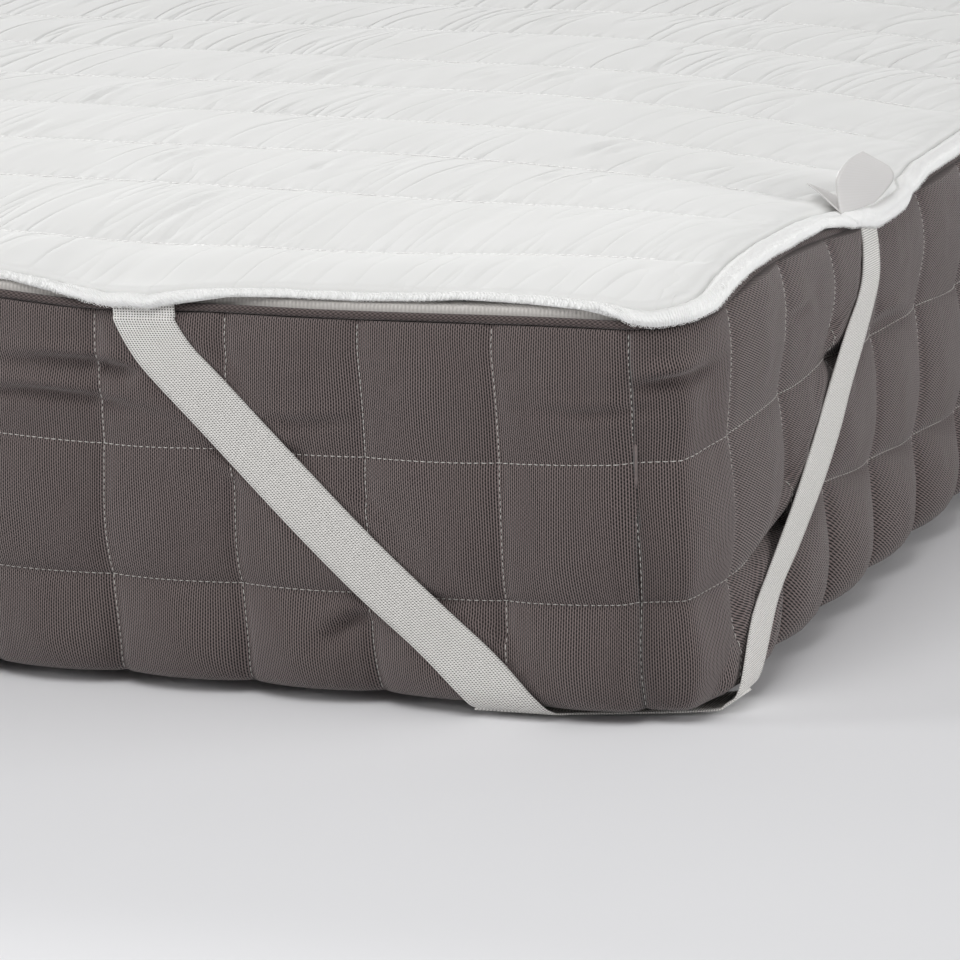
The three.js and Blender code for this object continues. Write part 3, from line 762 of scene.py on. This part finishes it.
def makeBorder():
    acrossPlaces = []
    before, after = border["near"]
    for start, stop in zip(columns, columns[1:]):
        steps = border["stepsAcross"][0 if start < after or start > outlineLength - before else 1]
        acrossPlaces += [blend(start, stop, n / steps) for n in range(steps)]
    acrossPlaces.append(columns[-1])
    upPlaces = rowHeights[:1]
    for low, high, steps in zip(rowHeights, rowHeights[1:], border["stepsUp"]):
        # a little closer together beside the seams
        upPlaces += [blend(low, high, (1 - math.cos(halfTurn * n / steps)) / 4 + n / steps / 2)
                     for n in range(1, steps + 1)]
    bm = bentGrid(acrossPlaces, upPlaces, borderSpot)
    layKnit(bm)

    def inwards(inset, height):
        # the outline's own shape, drawn in towards the middle
        def move(co):
            pulled = [math.copysign(min(abs(v) / mm, half - inset), v)
                      for v, half in ((co.x, halfWidth), (co.y, halfLength))]
            return risen(*pulled, height) * mm
        return move

    rims = openRims(bm, lambda co: co.z > seamHeight / 2)
    for ring, key in zip(rims, ("upperside", "underside")):
        for inset, height in mattress[key]:
            ring = nextRing(bm, ring, inwards(inset, height))[1]
        closeRim(bm, ring, mattress[key][-1][1])
    return closedMesh(bm, "mattressBorder")


borderMaterial = polyesterNetKnit("polyester net knit", borderCloth)
borderPiece = addPiece("mattressBorder", makeBorder(), borderMaterial, "border_cloth", "mattress_body")

# a stitch begins this share into its pitch, stands up in its middle and is thinner at its ends
stitch = {"begin": 0.15, "lift": 0.4, "thin": 0.55}
borderSeams = {"pitch": 4.0, "dash": 3.0, "radius": 0.34, "low": 0.15, "sway": 0.15, "end": 2}


def dashLine(spot, start, stop, seams, seed=1):
    # stitches along a line: each dips into the cloth at both ends
    dice = random.Random(seed)
    dash, low, sway = seams["dash"], seams["low"], seams["sway"]
    count = int((stop - start) / seams["pitch"])
    made = []
    for n in range(count):
        begin = start + (stop - start) * (n + stitch["begin"]) / count
        turn = dice.uniform(-sway, sway)
        made.append([(spot(begin, -low, -turn), stitch["thin"]),
                     (spot(begin + dash / 2, stitch["lift"], 0), 1),
                     (spot(begin + dash, -low, turn), stitch["thin"])])
    return made


def borderDashes():
    paths = []
    for height in rowHeights[1:3]:
        paths += dashLine(lambda at, lift, side: borderSpot(at, height + side, lift),
                          columns[0], columns[-1], borderSeams)
    for column in columns[:-1]:
        paths += dashLine(lambda at, lift, side: borderSpot(column + side, at, lift),
                          rowHeights[0] + borderSeams["end"], seamHeight - borderSeams["end"], borderSeams)
    return paths


borderThread = spunPolyesterThread("pale polyester thread", threadLook)
addPiece("borderStitches", threadMesh("borderStitches", borderDashes(), borderSeams["radius"]),
         borderThread, "border_cloth")

print("piping")


def makePiping():
    around, steps, radius = pipingShape["around"], pipingShape["steps"], pipingShape["radius"]
    middle = seamHeight + pipingShape["gap"] + radius
    made = radius - pipingShape["slack"]

    def spot(travel, turn):
        angle = turn / around * 2 * halfTurn
        x, y = outlineSpot(travel, pipingShape["inset"] - math.cos(angle) * made)[:2]
        return risen(x, y, middle + math.sin(angle) * made)

    bm = bentGrid([outlineLength * n / steps for n in range(steps + 1)], range(around + 1), spot,
                  lambda travel, turn: (travel, turn / around * 2 * halfTurn * radius))
    return closedMesh(bm, "topPiping")


addPiece("topPiping", makePiping(), ribbedCordCloth("ribbed cord cloth", cordLook), "piping_cloth",
         "top_piping")

print("quilt")
quilt = {
    "gap": 0.3,
    "firstLine": 75,
    "linePitch": 100,
    "lines": 19,
    "lineLoft": 3.9,
    "crestLoft": 9.0,
    "plump": 0.58,  # under 1, so a channel rises steeply from its lines
    "edge": 8,
    "wander": (4.8, 170, 0.037, 0.25),  # of the sewn lines: most, wave, turn from line to line, fade
    # soft noise in the thickness: puckers by the lines, with their fade and start, and wrinkles that slant
    "puckers": [((0.75, 7, 1 / 3.3, 1), 9, 2), ((0.5, 16, 1 / 5.3, 2), 22, 3)],
    "slant": 0.24,
    "wrinkles": (0.5, 17, 95, 3),
    "fineWrinkles": (0.35, 6.5, 42, 4),
    "patches": (1.6, 90, 90, 5),
    "swells": (1.3, 75, 80, 6),
    # creases: measures from what to what, the middle and spread of their slant, and how they are found
    "creases": {"count": 240, "margin": 40, "slant": (0.25, 0.12), "stretch": (1, 1, 1, 1.7),
                "long": (16, 34), "wide": (2.0, 3.2), "deep": (0.8, 2.0), "longest": 40, "deeper": 1.4,
                "cell": 40, "reach": 60, "across": 4, "swell": (0.5, 1.9, 1.2)},
    "endGroove": 7.5,  # stitched groove inside the hem, from its edge
    "sideGroove": 13.0,
    # distance from the corner, reach past the side, height of the underside over the seam
    "endHem": [(14, 4.5, 2.0), (28, 4.5, 2.2), (37, 4.2, 3.6), (49, 2.5, 7.6), (62, 0, 10.2), (99, -4, 11.2),
               (137, -4, 12.4), (175, -4, 10.5), (212, -4, 9.7), (250, -3, 10.4), (269, -1, 10.1),
               (282, 1, 9.6), (294, 3, 8.7), (306, 4.6, 7.0), (319, 6.2, 4.8), (332, 6.8, 2.5),
               (345, 6.8, 3.6), (357, 6.6, 3.5), (369, 5.6, 4.6), (381, 3.2, 6.4), (389, 1.2, 7.5),
               (401, -1, 9.1), (414, -2.5, 9.6), (427, -4, 10.2), (440, -4, 10.6), (700, -4, 11)],
    "sideHem": [(14, 4.5, 2.0), (30, 4.2, 4.2), (44, 3, 6.4), (60, 2, 6.8), (80, 2, 6.1), (118, 2.2, 5.2),
                (158, 2.6, 4.9), (197, 2.8, 5.9), (228, 3.2, 7.7), (250, 4.8, 5.4), (270, 6, 2.4),
                (325, 6.8, -3.2), (365, 6.8, -2.6), (392, 5.6, 3.2), (437, 3.4, 6), (480, 2.5, 5.4),
                (1000, 2, 7)],
    # where the hem bends over the edge, standing off and drooping: in from its edge, and its height
    "shoulder": ((5, 1.9), (9, 8.6)),
    "droop": (10, 12),  # it begins under this height and takes this far
    "laidFrom": (13, 30, 50),  # insets at which the underside lies on the panel
    # across the hem, as shares of the way to the groove: thickness
    "hemLoft": [(0, 1.4), (0.12, 3.2), (0.27, 4.5), (0.42, 4.5), (0.49, 3.9), (0.56, 4.5), (0.74, 4.5),
                (0.9, 3.4), (1.0, 1.5), (1.04, 2.1), (1.12, 4.0), (1.4, 5.6), (1.8, 6.2)],
    "groovePuckers": (0.5, 4.2, 0.5, 9),
    "hemLumps": (0.5, 9, 1 / 1.5, 10),
    "hemSway": (0.5, 22, 1 / 3.1, 11),
    "stepsAcross": (14, 3.95),  # on the left, and from the next measure on
    "fineFrom": -110,
    # from this far along: step, and places close to a sewn line
    "stepsAlong": [(0, 4.2, (1.3, 3.2, 6)), (550, 6.5, (1.3, 3.2, 6)), (900, 13, (2.5, 6))],
    "undersideLines": (0, 5, 11, 14),  # which of the hem's lines the underside has
    "undersideSteps": (9, 8),  # and which of the places across and along
}
hemShares = [0, 0.1, 0.25, 0.41, 0.49, 0.57, 0.72, 0.87, 0.95, 1.0, 1.04, 1.12, 1.4, 1.8]
hemLast = len(hemShares) - 1
grooveLine = hemShares.index(1.0)
# how far in each line lies on the flat cloth, with more lines between the hem and the rest of the quilt
nominalInsets = [10 * share for share in hemShares] + [24, 31, 40, 50]
hemEnd = nominalInsets[-1]


def wander(x, at):
    most, wave, turn, fade = quilt["wander"]
    return most * bell(x / halfWidth) ** fade * math.sin(x / wave + at * turn)


def scatterCreases(sizes):
    # short creases all over the quilt, listed by the cells of a grid that they reach
    dice = random.Random(11)
    margin, cell, reach = sizes["margin"], sizes["cell"], sizes["reach"]
    cells = {}
    for n in range(sizes["count"]):
        x = dice.uniform(-halfWidth + margin, halfWidth - margin)
        at = dice.uniform(margin, 2 * halfLength - margin)
        turn = halfTurn / 2 - dice.gauss(*sizes["slant"])
        long = dice.choice(sizes["stretch"]) * dice.uniform(*sizes["long"])
        wide = dice.uniform(*sizes["wide"])
        deep = dice.uniform(*sizes["deep"]) * (sizes["deeper"] if long > sizes["longest"] else 1)
        for i in range(int((x - reach) // cell), int((x + reach) // cell) + 1):
            for j in range(int((at - reach) // cell), int((at + reach) // cell) + 1):
                cells.setdefault((i, j), []).append((x, at, math.cos(turn), math.sin(turn), long, wide, deep))
    return cells


creaseCells = scatterCreases(quilt["creases"])


def creaseDepth(x, at):
    depth = 0.0
    cell, across, swell = (quilt["creases"][key] for key in ("cell", "across", "swell"))
    for atX, atY, alongX, alongY, long, wide, deep in creaseCells.get((int(x // cell), int(at // cell)), ()):
        dx, dy = x - atX, at - atY
        along, off = dx * alongX + dy * alongY, (dx * alongY - dy * alongX) / wide
        if abs(along) < long and abs(off) < across:
            depth -= deep * bell(along / long) * foldShape(off, *swell)
    return depth


def loft(x, at):
    # thickness of the quilt: wadded channels between sewn lines, with their wrinkles
    first, pitch, edge = quilt["firstLine"], quilt["linePitch"], quilt["edge"]
    last = first + (quilt["lines"] - 1) * pitch
    if at < first:
        v, near = clamp((at - edge) / (first - edge)), first - at
    elif at > last:
        v, near = clamp((2 * halfLength - edge - at) / (2 * halfLength - edge - last)), at - last
    else:
        v = (at - first) / pitch % 1
        near = min(v, 1 - v) * pitch
    rise = max(math.sin(halfTurn * v), 0) ** quilt["plump"]
    thick = blend(quilt["lineLoft"], quilt["crestLoft"], rise)
    for wave, fade, start in quilt["puckers"]:
        line = round((at - first) / pitch)
        thick += rough(wave, x, line) * math.exp(-near / fade) * clamp(near / start)
    slid = x - quilt["slant"] * at
    patchy = clamp(0.25 + rough(quilt["patches"], x, at))
    thick += rise * (rough(quilt["wrinkles"], slid, at) + rough(quilt["fineWrinkles"], slid, at) * patchy
                     + rough(quilt["swells"], x, at))
    return thick + creaseDepth(x, at) * clamp(near / 5)


def hemSection(key, distance, crownAt):
    # underside of the hem from its edge inwards: reach past the side, height over the seam
    reach, height = (readTable(quilt[key], distance, column) for column in (1, 2))
    high, over = quilt["droop"]
    inwards, bend = (blend(*pair, clamp((high - height) / over)) for pair in quilt["shoulder"])
    return [(reach, height), (reach - inwards, max(height - 1, bend)),
            *((-inset, crownAt(inset) + quilt["gap"]) for inset in quilt["laidFrom"])]


def followed(points, arc):
    # the point at a distance along a line of points, and beyond its ends
    for n in range(len(points) - 1):
        size = math.dist(points[n], points[n + 1])
        if arc <= size or n == len(points) - 2:
            return [blend(a, b, arc / size) for a, b in zip(points[n], points[n + 1])]
        arc -= size


def rounded(points, arc):
    spots = [followed(points, arc + step) for step in (-3, 0, 3)]
    return [(before + 2 * here + after) / 4 for before, here, after in zip(*spots)]


def hemSpot(outX, outY, weight, x, y, depth, upper):
    # a place in the hem: weight is its share of the side's shape, depth its line number, and x and y
    # its place on the mattress's outline
    def crownAt(inset):
        return crown(x - outX * inset, y - outY * inset)

    side = hemSection("sideHem", halfLength - abs(y), crownAt)
    end = hemSection("endHem", halfWidth - abs(x), crownAt)
    points = [[blend(b, a, weight) for a, b in zip(*pair)] for pair in zip(side, end)]
    share, inwardShare = hemShares[min(depth, hemLast)], 0.0
    arc = share * blend(quilt["endGroove"], quilt["sideGroove"], weight)
    if depth > hemLast:
        outer = nominalInsets[hemLast]
        inwardShare = (nominalInsets[depth] - outer) / (hemEnd - outer)
        arc = blend(arc, sum(math.dist(a, b) for a, b in zip(points, points[1:])), inwardShare)
    reach, height = rounded(points, arc)
    before, after = rounded(points, arc - 1), rounded(points, arc + 1)
    tangent = Vector((after[0] - before[0], after[1] - before[1])).normalized()
    thick = 0.0
    if upper:
        thick = readTable(quilt["hemLoft"], share)
        thick += math.exp(-abs(share - 1) * 7) * rough(quilt["groovePuckers"], x + y, share)
        thick += rough(quilt["hemLumps"], x + y, share) * clamp(share * 3)
        opened = smooth((share - 1) / (hemShares[-1] - 1))
        if opened > 0:
            full = loft(x + outX * reach, y + outY * reach + halfLength)
            thick = blend(thick, full, opened * clamp(0.35 + inwardShare))
    sway = rough(quilt["hemSway"], x + y, 1) + 0.5
    return reach + tangent.y * thick, height - tangent.x * thick + sway * (1 - inwardShare)


def gridStations(inner, lines=range(len(nominalInsets) - 1)):
    # places from one edge to the other: lines of the hem by number, and between them by distance
    return [(-1, n) for n in lines] + [(0, at) for at in inner] + [(1, n) for n in reversed(lines)]


def acrossInner():
    places = [-halfWidth + hemEnd]
    coarse, fine = quilt["stepsAcross"]
    while places[-1] < halfWidth - hemEnd - 2:
        places.append(places[-1] + (coarse if places[-1] < quilt["fineFrom"] else fine))
    places[-1] = halfWidth - hemEnd
    return places


def alongInner():
    lines = [quilt["firstLine"] + n * quilt["linePitch"] for n in range(quilt["lines"])]
    knots = [hemEnd] + lines + [2 * halfLength - hemEnd]
    places = []
    for low, high in zip(knots, knots[1:]):
        step, near = [row[1:] for row in quilt["stepsAlong"] if row[0] <= low][-1]
        places += [low]
        if low > hemEnd:
            places += [low + n for n in near]
        begin, stop = places[-1], high - (near[-1] if high < knots[-1] else 0)
        count = max(1, round((stop - begin) / step))
        places += [blend(begin, stop, n / count) for n in range(1, count)]
        if high < knots[-1]:
            places += [high - n for n in reversed(near)]
    return places + [knots[-1]]


def quiltSpot(across, along, upper=True):
    (sideX, atX), (sideY, atY) = across, along
    if not sideX and not sideY:
        x, y = atX, atY - halfLength + wander(atX, atY)
        base = seamHeight + crown(x, y) + quilt["gap"]
        return risen(x, y, base + (loft(x, atY) if upper else 0))
    if sideX and sideY:
        px, py = cornerRadius - nominalInsets[atX], cornerRadius - nominalInsets[atY]
        size = math.hypot(px, py) or 1
        outX, outY, weight, depth = px / size * sideX, py / size * sideY, (px / size) ** 2, min(atX, atY)
        x = sideX * (halfWidth - cornerRadius) + outX * cornerRadius
        y = sideY * (halfLength - cornerRadius) + outY * cornerRadius
    elif sideX:
        outX, outY, weight, depth = sideX, 0, 1, atX
        x = sideX * halfWidth
        y = atY - halfLength + wander(x - sideX * nominalInsets[atX], atY)
    else:
        outX, outY, weight, depth = 0, sideY, 0, atY
        x, y = atX, sideY * halfLength
    reach, height = hemSpot(outX, outY, weight, x, y, depth, upper)
    return risen(x + outX * reach, y + outY * reach, seamHeight + height)


def clothSpot(across, along):
    # the same place on the cloth laid flat: distance from the middle line, distance from the foot end
    (sideX, atX), (sideY, atY) = across, along
    return (sideX * (halfWidth - nominalInsets[atX]) if sideX else atX,
            halfLength + sideY * (halfLength - nominalInsets[atY]) if sideY else atY)


def makeQuilt():
    across, along = acrossInner(), alongInner()
    bm = bentGrid(gridStations(across), gridStations(along), quiltSpot, clothSpot)
    print("quilt top", len(bm.verts), "points")
    rim = [edge for edge in bm.edges if edge.is_boundary]
    # the underside has fewer lines, and is bridged to the top's rim
    lines, (skipAcross, skipAlong) = quilt["undersideLines"], quilt["undersideSteps"]
    lower = bentGrid(gridStations(across[::skipAcross], lines), gridStations(along[::skipAlong], lines),
                     lambda a, b: quiltSpot(a, b, False), clothSpot)
    bmesh.ops.reverse_faces(lower, faces=lower.faces)
    spare = asMesh(lower, "spare")
    bm.from_mesh(spare)
    bpy.data.meshes.remove(spare)
    known = set(rim)
    lowerRim = [edge for edge in bm.edges if edge.is_boundary and edge not in known]
    bmesh.ops.bridge_loops(bm, edges=rim + lowerRim)
    print("open edges", sum(1 for edge in bm.edges if edge.is_boundary))
    return closedMesh(bm, "quiltTop")


print("top panel")


def makePanel():
    edgeRows, insets, steps = panelShape["edgeRows"], panelShape["insets"], panelShape["steps"]

    def spot(travel, row):
        if row >= len(edgeRows):
            x, y = outlineSpot(travel, insets[row - len(edgeRows)])[:2]
            return risen(x, y, seamHeight + crown(x, y) - panelShape["under"])
        inset, low, high = edgeRows[row]
        x, y = outlineSpot(travel, inset)[:2]
        hemX, hemY, outX, outY = outlineSpot(travel, 0)
        side, end = (readTable(quilt[key], distance, 2) for key, distance in
                     (("sideHem", halfLength - abs(hemY)), ("endHem", halfWidth - abs(hemX))))
        hemHeight = blend(end, side, outX ** 2)
        start, stop = panelShape["standOff"]
        lifted = min(high, max(hemHeight - 0.2, low))
        height = blend(low, lifted, smooth((hemHeight - start) / (stop - start)))
        return risen(x, y, seamHeight + height)

    bm = bentGrid([outlineLength * n / steps for n in range(steps + 1)], range(len(edgeRows) + len(insets)),
                  spot)
    apart = panelShape["rimApart"]
    upper, lower = openRims(bm, lambda co: abs(co.x) < halfWidth - apart and abs(co.y) < halfLength - apart)
    closeRim(bm, upper, seamHeight + crown(0, 0) - panelShape["under"])
    closeRim(bm, lower, seamHeight + edgeRows[0][1])
    return closedMesh(bm, "panelTop")


panelPiece = addPiece("panelTop", makePanel(), stretchPanelKnit("light grey stretch knit", panelLook),
                      "panel_cloth", "top_panel")

quiltMaterial = brushedCottonPercale("white cotton percale", quiltLook)
quiltPiece = addPiece("quiltTop", makeQuilt(), quiltMaterial, "quilt_cloth", "protector")

print("thread on the quilt")
overlock = {"pitch": 1.45, "radius": 0.26, "uneven": 0.3, "lean": 1.2, "wave": (0.7, 6, 1, 21),
            "loose": 0.25, "inner": (2.7, 4.2), "thick": (0.75, 1.2)}
fluff = {"count": 8200, "radius": 0.11, "from": (-1.2, 1.0), "reach": (0.6, 1.9), "slide": (-1.4, 1.4),
         "drop": (-0.7, 0.9), "middle": (-1.0, 0.8), "end": (0.5, 1.1)}


def hemTravelSpot(travel, depth, upper, lift=0.0):
    # a place in the hem by its distance round the outline, for thread that lies on it
    x, y, outX, outY = outlineSpot(travel, 0)
    depth = clamp(depth, 0, hemLast)
    spots = []
    for n in (int(depth), min(int(depth) + 1, hemLast)):
        reach, height = hemSpot(outX, outY, outX * outX, x, y, n, upper)
        spots.append(Vector((x + outX * reach, y + outY * reach, seamHeight + height)))
    spot = spots[0].lerp(spots[1], depth - int(depth))
    return risen(*spot) + Vector((outX * 0.3, outY * 0.3, 0.6)) * lift


def hemRim(travel, outwards, down):
    # a place just off the hem's rounded edge
    outX, outY = outlineSpot(travel, 0)[2:]
    edge = (hemTravelSpot(travel, 0, True) + hemTravelSpot(travel, 0, False)) / 2
    return edge + Vector((outX * outwards, outY * outwards, -down))


def overlockLoops():
    # thread wrapped over the edge, close together and uneven
    dice = random.Random(5)
    paths = []
    count = int(outlineLength / overlock["pitch"])
    for n in range(count):
        travel = outlineLength * (n + dice.uniform(-overlock["uneven"], overlock["uneven"])) / count
        lean = dice.uniform(-overlock["lean"], overlock["lean"])
        loose = abs(rough(overlock["wave"], travel, 0)) + dice.uniform(0, overlock["loose"])
        spots = [hemTravelSpot(travel + lean + 1.9, dice.uniform(*overlock["inner"]), True, -0.1),
                 hemTravelSpot(travel + lean + 0.9, 1.9, True, 0.1 + 0.2 * loose),
                 hemRim(travel + lean, 0.2 + loose, -0.4), hemRim(travel - lean, -0.1, 1.0)]
        thick = dice.uniform(*overlock["thick"])
        paths.append(list(zip(spots, (0.4, thick, thick, 0.6))))
    return paths


def fluffFibres():
    # fibres worked loose from the wadding and the thread, all along the edge
    dice = random.Random(9)
    paths = []
    for n in range(fluff["count"]):
        travel = dice.uniform(0, outlineLength)
        start = hemRim(travel, -0.4, dice.uniform(*fluff["from"]))
        reach, slide, drop = (dice.uniform(*fluff[key]) for key in ("reach", "slide", "drop"))
        middle = hemRim(travel + slide * 0.4, reach * 0.8, dice.uniform(*fluff["middle"]))
        end = hemRim(travel + slide, reach * dice.uniform(*fluff["end"]), drop + 0.3)
        paths.append(list(zip((start, middle, end), (1, 1, 0.3))))
    return paths


overlockMaterial = spunPolyesterThread("white overlock thread", overlockLook)
hemPiece = addPiece("hemEdge", threadMesh("hemEdge", overlockLoops(), overlock["radius"]),
                    overlockMaterial, "quilt_cloth")
fluffPiece = addPiece("hemFluff", threadMesh("hemFluff", fluffFibres(), fluff["radius"]),
                      overlockMaterial, "quilt_cloth")

quiltSeams = {"pitch": 4.6, "dash": 4.5, "radius": 0.45, "low": 0, "sway": 0.1, "over": 0.5}
hemSeam = {**quiltSeams, "low": 0.3, "over": 0.1}


def quiltDashes():
    paths = []
    for n in range(quilt["lines"]):
        at = quilt["firstLine"] + n * quilt["linePitch"]

        def lineSpot(x, lift, side):
            return quiltSpot((0, x), (0, at + side)) + Vector((0, 0, lift + quiltSeams["over"]))

        paths += dashLine(lineSpot, -halfWidth + hemEnd, halfWidth - hemEnd, quiltSeams, seed=n)

    def hemSeamSpot(travel, lift, side):
        return hemTravelSpot(travel, grooveLine + side, True, lift + hemSeam["over"])

    return paths + dashLine(hemSeamSpot, 0, outlineLength, hemSeam)


quiltThread = addPiece("quiltStitches", threadMesh("quiltStitches", quiltDashes(), quiltSeams["radius"]),
                       overlockMaterial, "quilt_cloth")

print("straps")


def strapRows():
    # both edges of the band, from the hem on the end, under the corner, to the hem on the side
    def leg(key, onSide):
        return [(along - spread, along + spread, seamHeight - drop, off, onSide)
                for drop, along, spread, off in strapBands[key]]

    def carried(row, steps):
        return [(row[0] + step, row[1] + step, height, off, row[4]) for step, height, off in steps]

    end, side = leg("endLeg", False), leg("sideLeg", True)[::-1]
    return (carried(end[0], straps["tuck"]) + end + carried(end[-1], straps["endTurn"])
            + carried(side[0], straps["sideTurn"])[::-1] + side + carried(side[-1], straps["tuck"])[::-1])


def curveThrough(points, share):
    # a smooth line through the points, by its share from the first to the last
    place = share * (len(points) - 1)
    n = min(int(place), len(points) - 2)
    t = place - n
    a, b, c, d = (points[clamp(n + k, 0, len(points) - 1)] for k in (-1, 0, 1, 2))
    return (2 * b + (c - a) * t + (2 * a - 5 * b + 4 * c - d) * t * t + (3 * b - a - 3 * c + d) * t ** 3) / 2


def bandSpot(edges, along, across):
    near, far = (curveThrough(edge, along) for edge in edges)
    return near.lerp(far, across)


def thickened(bm, name, thickness):
    bmesh.ops.solidify(bm, geom=bm.faces, thickness=thickness * mm)
    return asMesh(bm, name)


def makeStrap(name, signX, signY):
    edges = ([], [])
    for low, high, height, off, onSide in strapRows():
        for edge, along in zip(edges, (low, high)):
            x, y = (halfWidth + off, halfLength - along) if onSide else (halfWidth - along, halfLength + off)
            edge.append(risen(signX * x, signY * y, height))
    steps, wide = straps["steps"]
    spine = [curveThrough(edges[0], n / steps) for n in range(steps + 1)]
    lengths = [0]
    for before, after in zip(spine, spine[1:]):
        lengths.append(lengths[-1] + (after - before).length)
    bm = bentGrid(range(steps + 1), range(wide + 1), lambda n, side: bandSpot(edges, n / steps, side / wide),
                  lambda n, side: (side / wide * straps["width"], lengths[n]))
    bmesh.ops.recalc_face_normals(bm, faces=bm.faces)
    bm.faces.ensure_lookup_table()
    # the outer face looks away from the mattress's middle
    outer = bm.faces[len(bm.faces) // 5]
    if outer.normal.dot(outer.calc_center_median()) < 0:
        bmesh.ops.reverse_faces(bm, faces=bm.faces)
    return thickened(bm, name, -straps["thickness"])


tapeMaterial = wovenElasticTape("woven elastic tape", tapeLook)
for node, signX, signY in (("strap_foot_right", 1, -1), ("strap_foot_left", -1, -1),
                           ("strap_head_right", 1, 1), ("strap_head_left", -1, 1)):
    name = "tape" + "".join(word.capitalize() for word in node.split("_"))
    addPiece(name, makeStrap(name, signX, signY), tapeMaterial, "elastic_tape", node)

print("labels")
labels = {
    "thickness": 0.7,
    "bulge": 1.0,
    "steps": (28, 18),  # up the label and across it
    "threadSteps": (3, 1.2),
    # near and far edge: out from the side, distance from the corner, height over the seam
    "label_main": [((2, 258, 16.5), (7, 308, 14.3)), ((-1, 261, 28.2), (8.5, 325, 17.5)),
                   ((-2, 264, 38.3), (9, 340, 21.3)), ((-1, 284, 44.8), (8, 345, 24.7)),
                   ((0, 309, 45.2), (6, 343, 29.6))],
    "label_care": [((2.3, 257, 18.2), (-3.2, 290, 15.5)), ((-4.5, 257, 23.9), (-10, 289, 20.8)),
                   ((-11.9, 257, 30.3), (-18, 288, 24.8)), ((-18.4, 257, 34.8), (-24.5, 287, 27.5))],
}


def makeLabel(name, rows):
    (steps, wide), (acrossStep, upStep) = labels["steps"], labels["threadSteps"]
    edges = [[Vector((halfWidth + out, along - halfLength, seamHeight + up)) for out, along, up in edge]
             for edge in zip(*rows)]

    def spot(n, side):
        point = bandSpot(edges, n / steps, side / wide)
        point.x += labels["bulge"] * math.sin(halfTurn * side / wide) * math.sin(halfTurn * n / steps)
        return point

    bm = bentGrid(range(steps + 1), range(wide + 1), spot, lambda n, side: (side * acrossStep, n * upStep))
    bmesh.ops.recalc_face_normals(bm, faces=bm.faces)
    return thickened(bm, name, labels["thickness"])


ribbonMaterial = wovenLabelRibbon("woven label ribbon", labelLook)
for node, name in (("label_main", "mainLabel"), ("label_care", "careLabel")):
    addPiece(name, makeLabel(name, labels[node]), ribbonMaterial, "label_cloth", node)

print("floor and lights")
studio = {
    "floor": "#e4e4e6",
    "mottle": "#e8e8ea",
    "floorSize": 14,
    "world": 0.22,
    "backdrop": 1.0,
    "lamps": {
        # place, aimed at, size, power in watts
        "overhead": ((0.6, -2.4, 2.5), (0.5, -0.95, 0.2), 1.8, 44),
        "backLeft": ((-10.6, 9.8, 5.7), (0.5, -0.6, 0.2), 2.8, 1290),
        "frontLeft": ((-4.8, -3.2, 1.4), (0.2, -1.0, 0.1), 1.2, 120),
        "right": ((5.0, 0.0, 1.3), (0.7, -0.8, 0.15), 3.0, 114),
    },
}


def studioFloorPaint(name, look):
    # painted studio floor: pale, even, with the faintest mottling
    material, add = newMaterial(name)
    place = add("TexCoord").outputs["Object"]
    mottle = add("TexNoise", {"Scale": 3, "Detail": 3}, {"Vector": place})
    colour = add("Mix", {6: look["floor"], 7: look["mottle"]}, {0: mottle})
    finishMaterial(add, {"Roughness": 0.8}, {"Base Color": colour})
    return material


def addFloor():
    bm = bmesh.new()
    bmesh.ops.create_grid(bm, x_segments=8, y_segments=8, size=studio["floorSize"])
    mesh = asMesh(bm, "floor")
    mesh.materials.append(studioFloorPaint("painted studio floor", studio))
    floor = bpy.data.objects.new("floor", mesh)
    bpy.context.scene.collection.objects.link(floor)


def addLamp(name, location, target, size, power):
    data = bpy.data.lights.new(name, "AREA")
    data.size = size
    data.energy = power
    lamp = bpy.data.objects.new(name, data)
    lamp.location = location
    lamp.rotation_euler = (Vector(target) - Vector(location)).to_track_quat("-Z", "Y").to_euler()
    bpy.context.scene.collection.objects.link(lamp)


def addWorld():
    # dim light from all round, and a white background where it is seen or mirrored
    world = bpy.data.worlds.new("studio")
    world.use_nodes = True
    world.node_tree.nodes.clear()
    add = partial(addNode, world.node_tree)
    path = add("LightPath")
    seen = add("Math MAXIMUM", links={0: path.outputs["Is Camera Ray"], 1: path.outputs["Is Glossy Ray"]})
    light, white = (add("Background", {"Color": "#ffffff", "Strength": studio[key]})
                    for key in ("world", "backdrop"))
    either = add("MixShader", links={0: seen, 1: light, 2: white})
    add("OutputWorld", links={0: either})
    bpy.context.scene.world = world


addFloor()
for name, settings in studio["lamps"].items():
    addLamp(name, *settings)
addWorld()
bpy.context.scene.view_settings.view_transform = "Standard"

print("done")
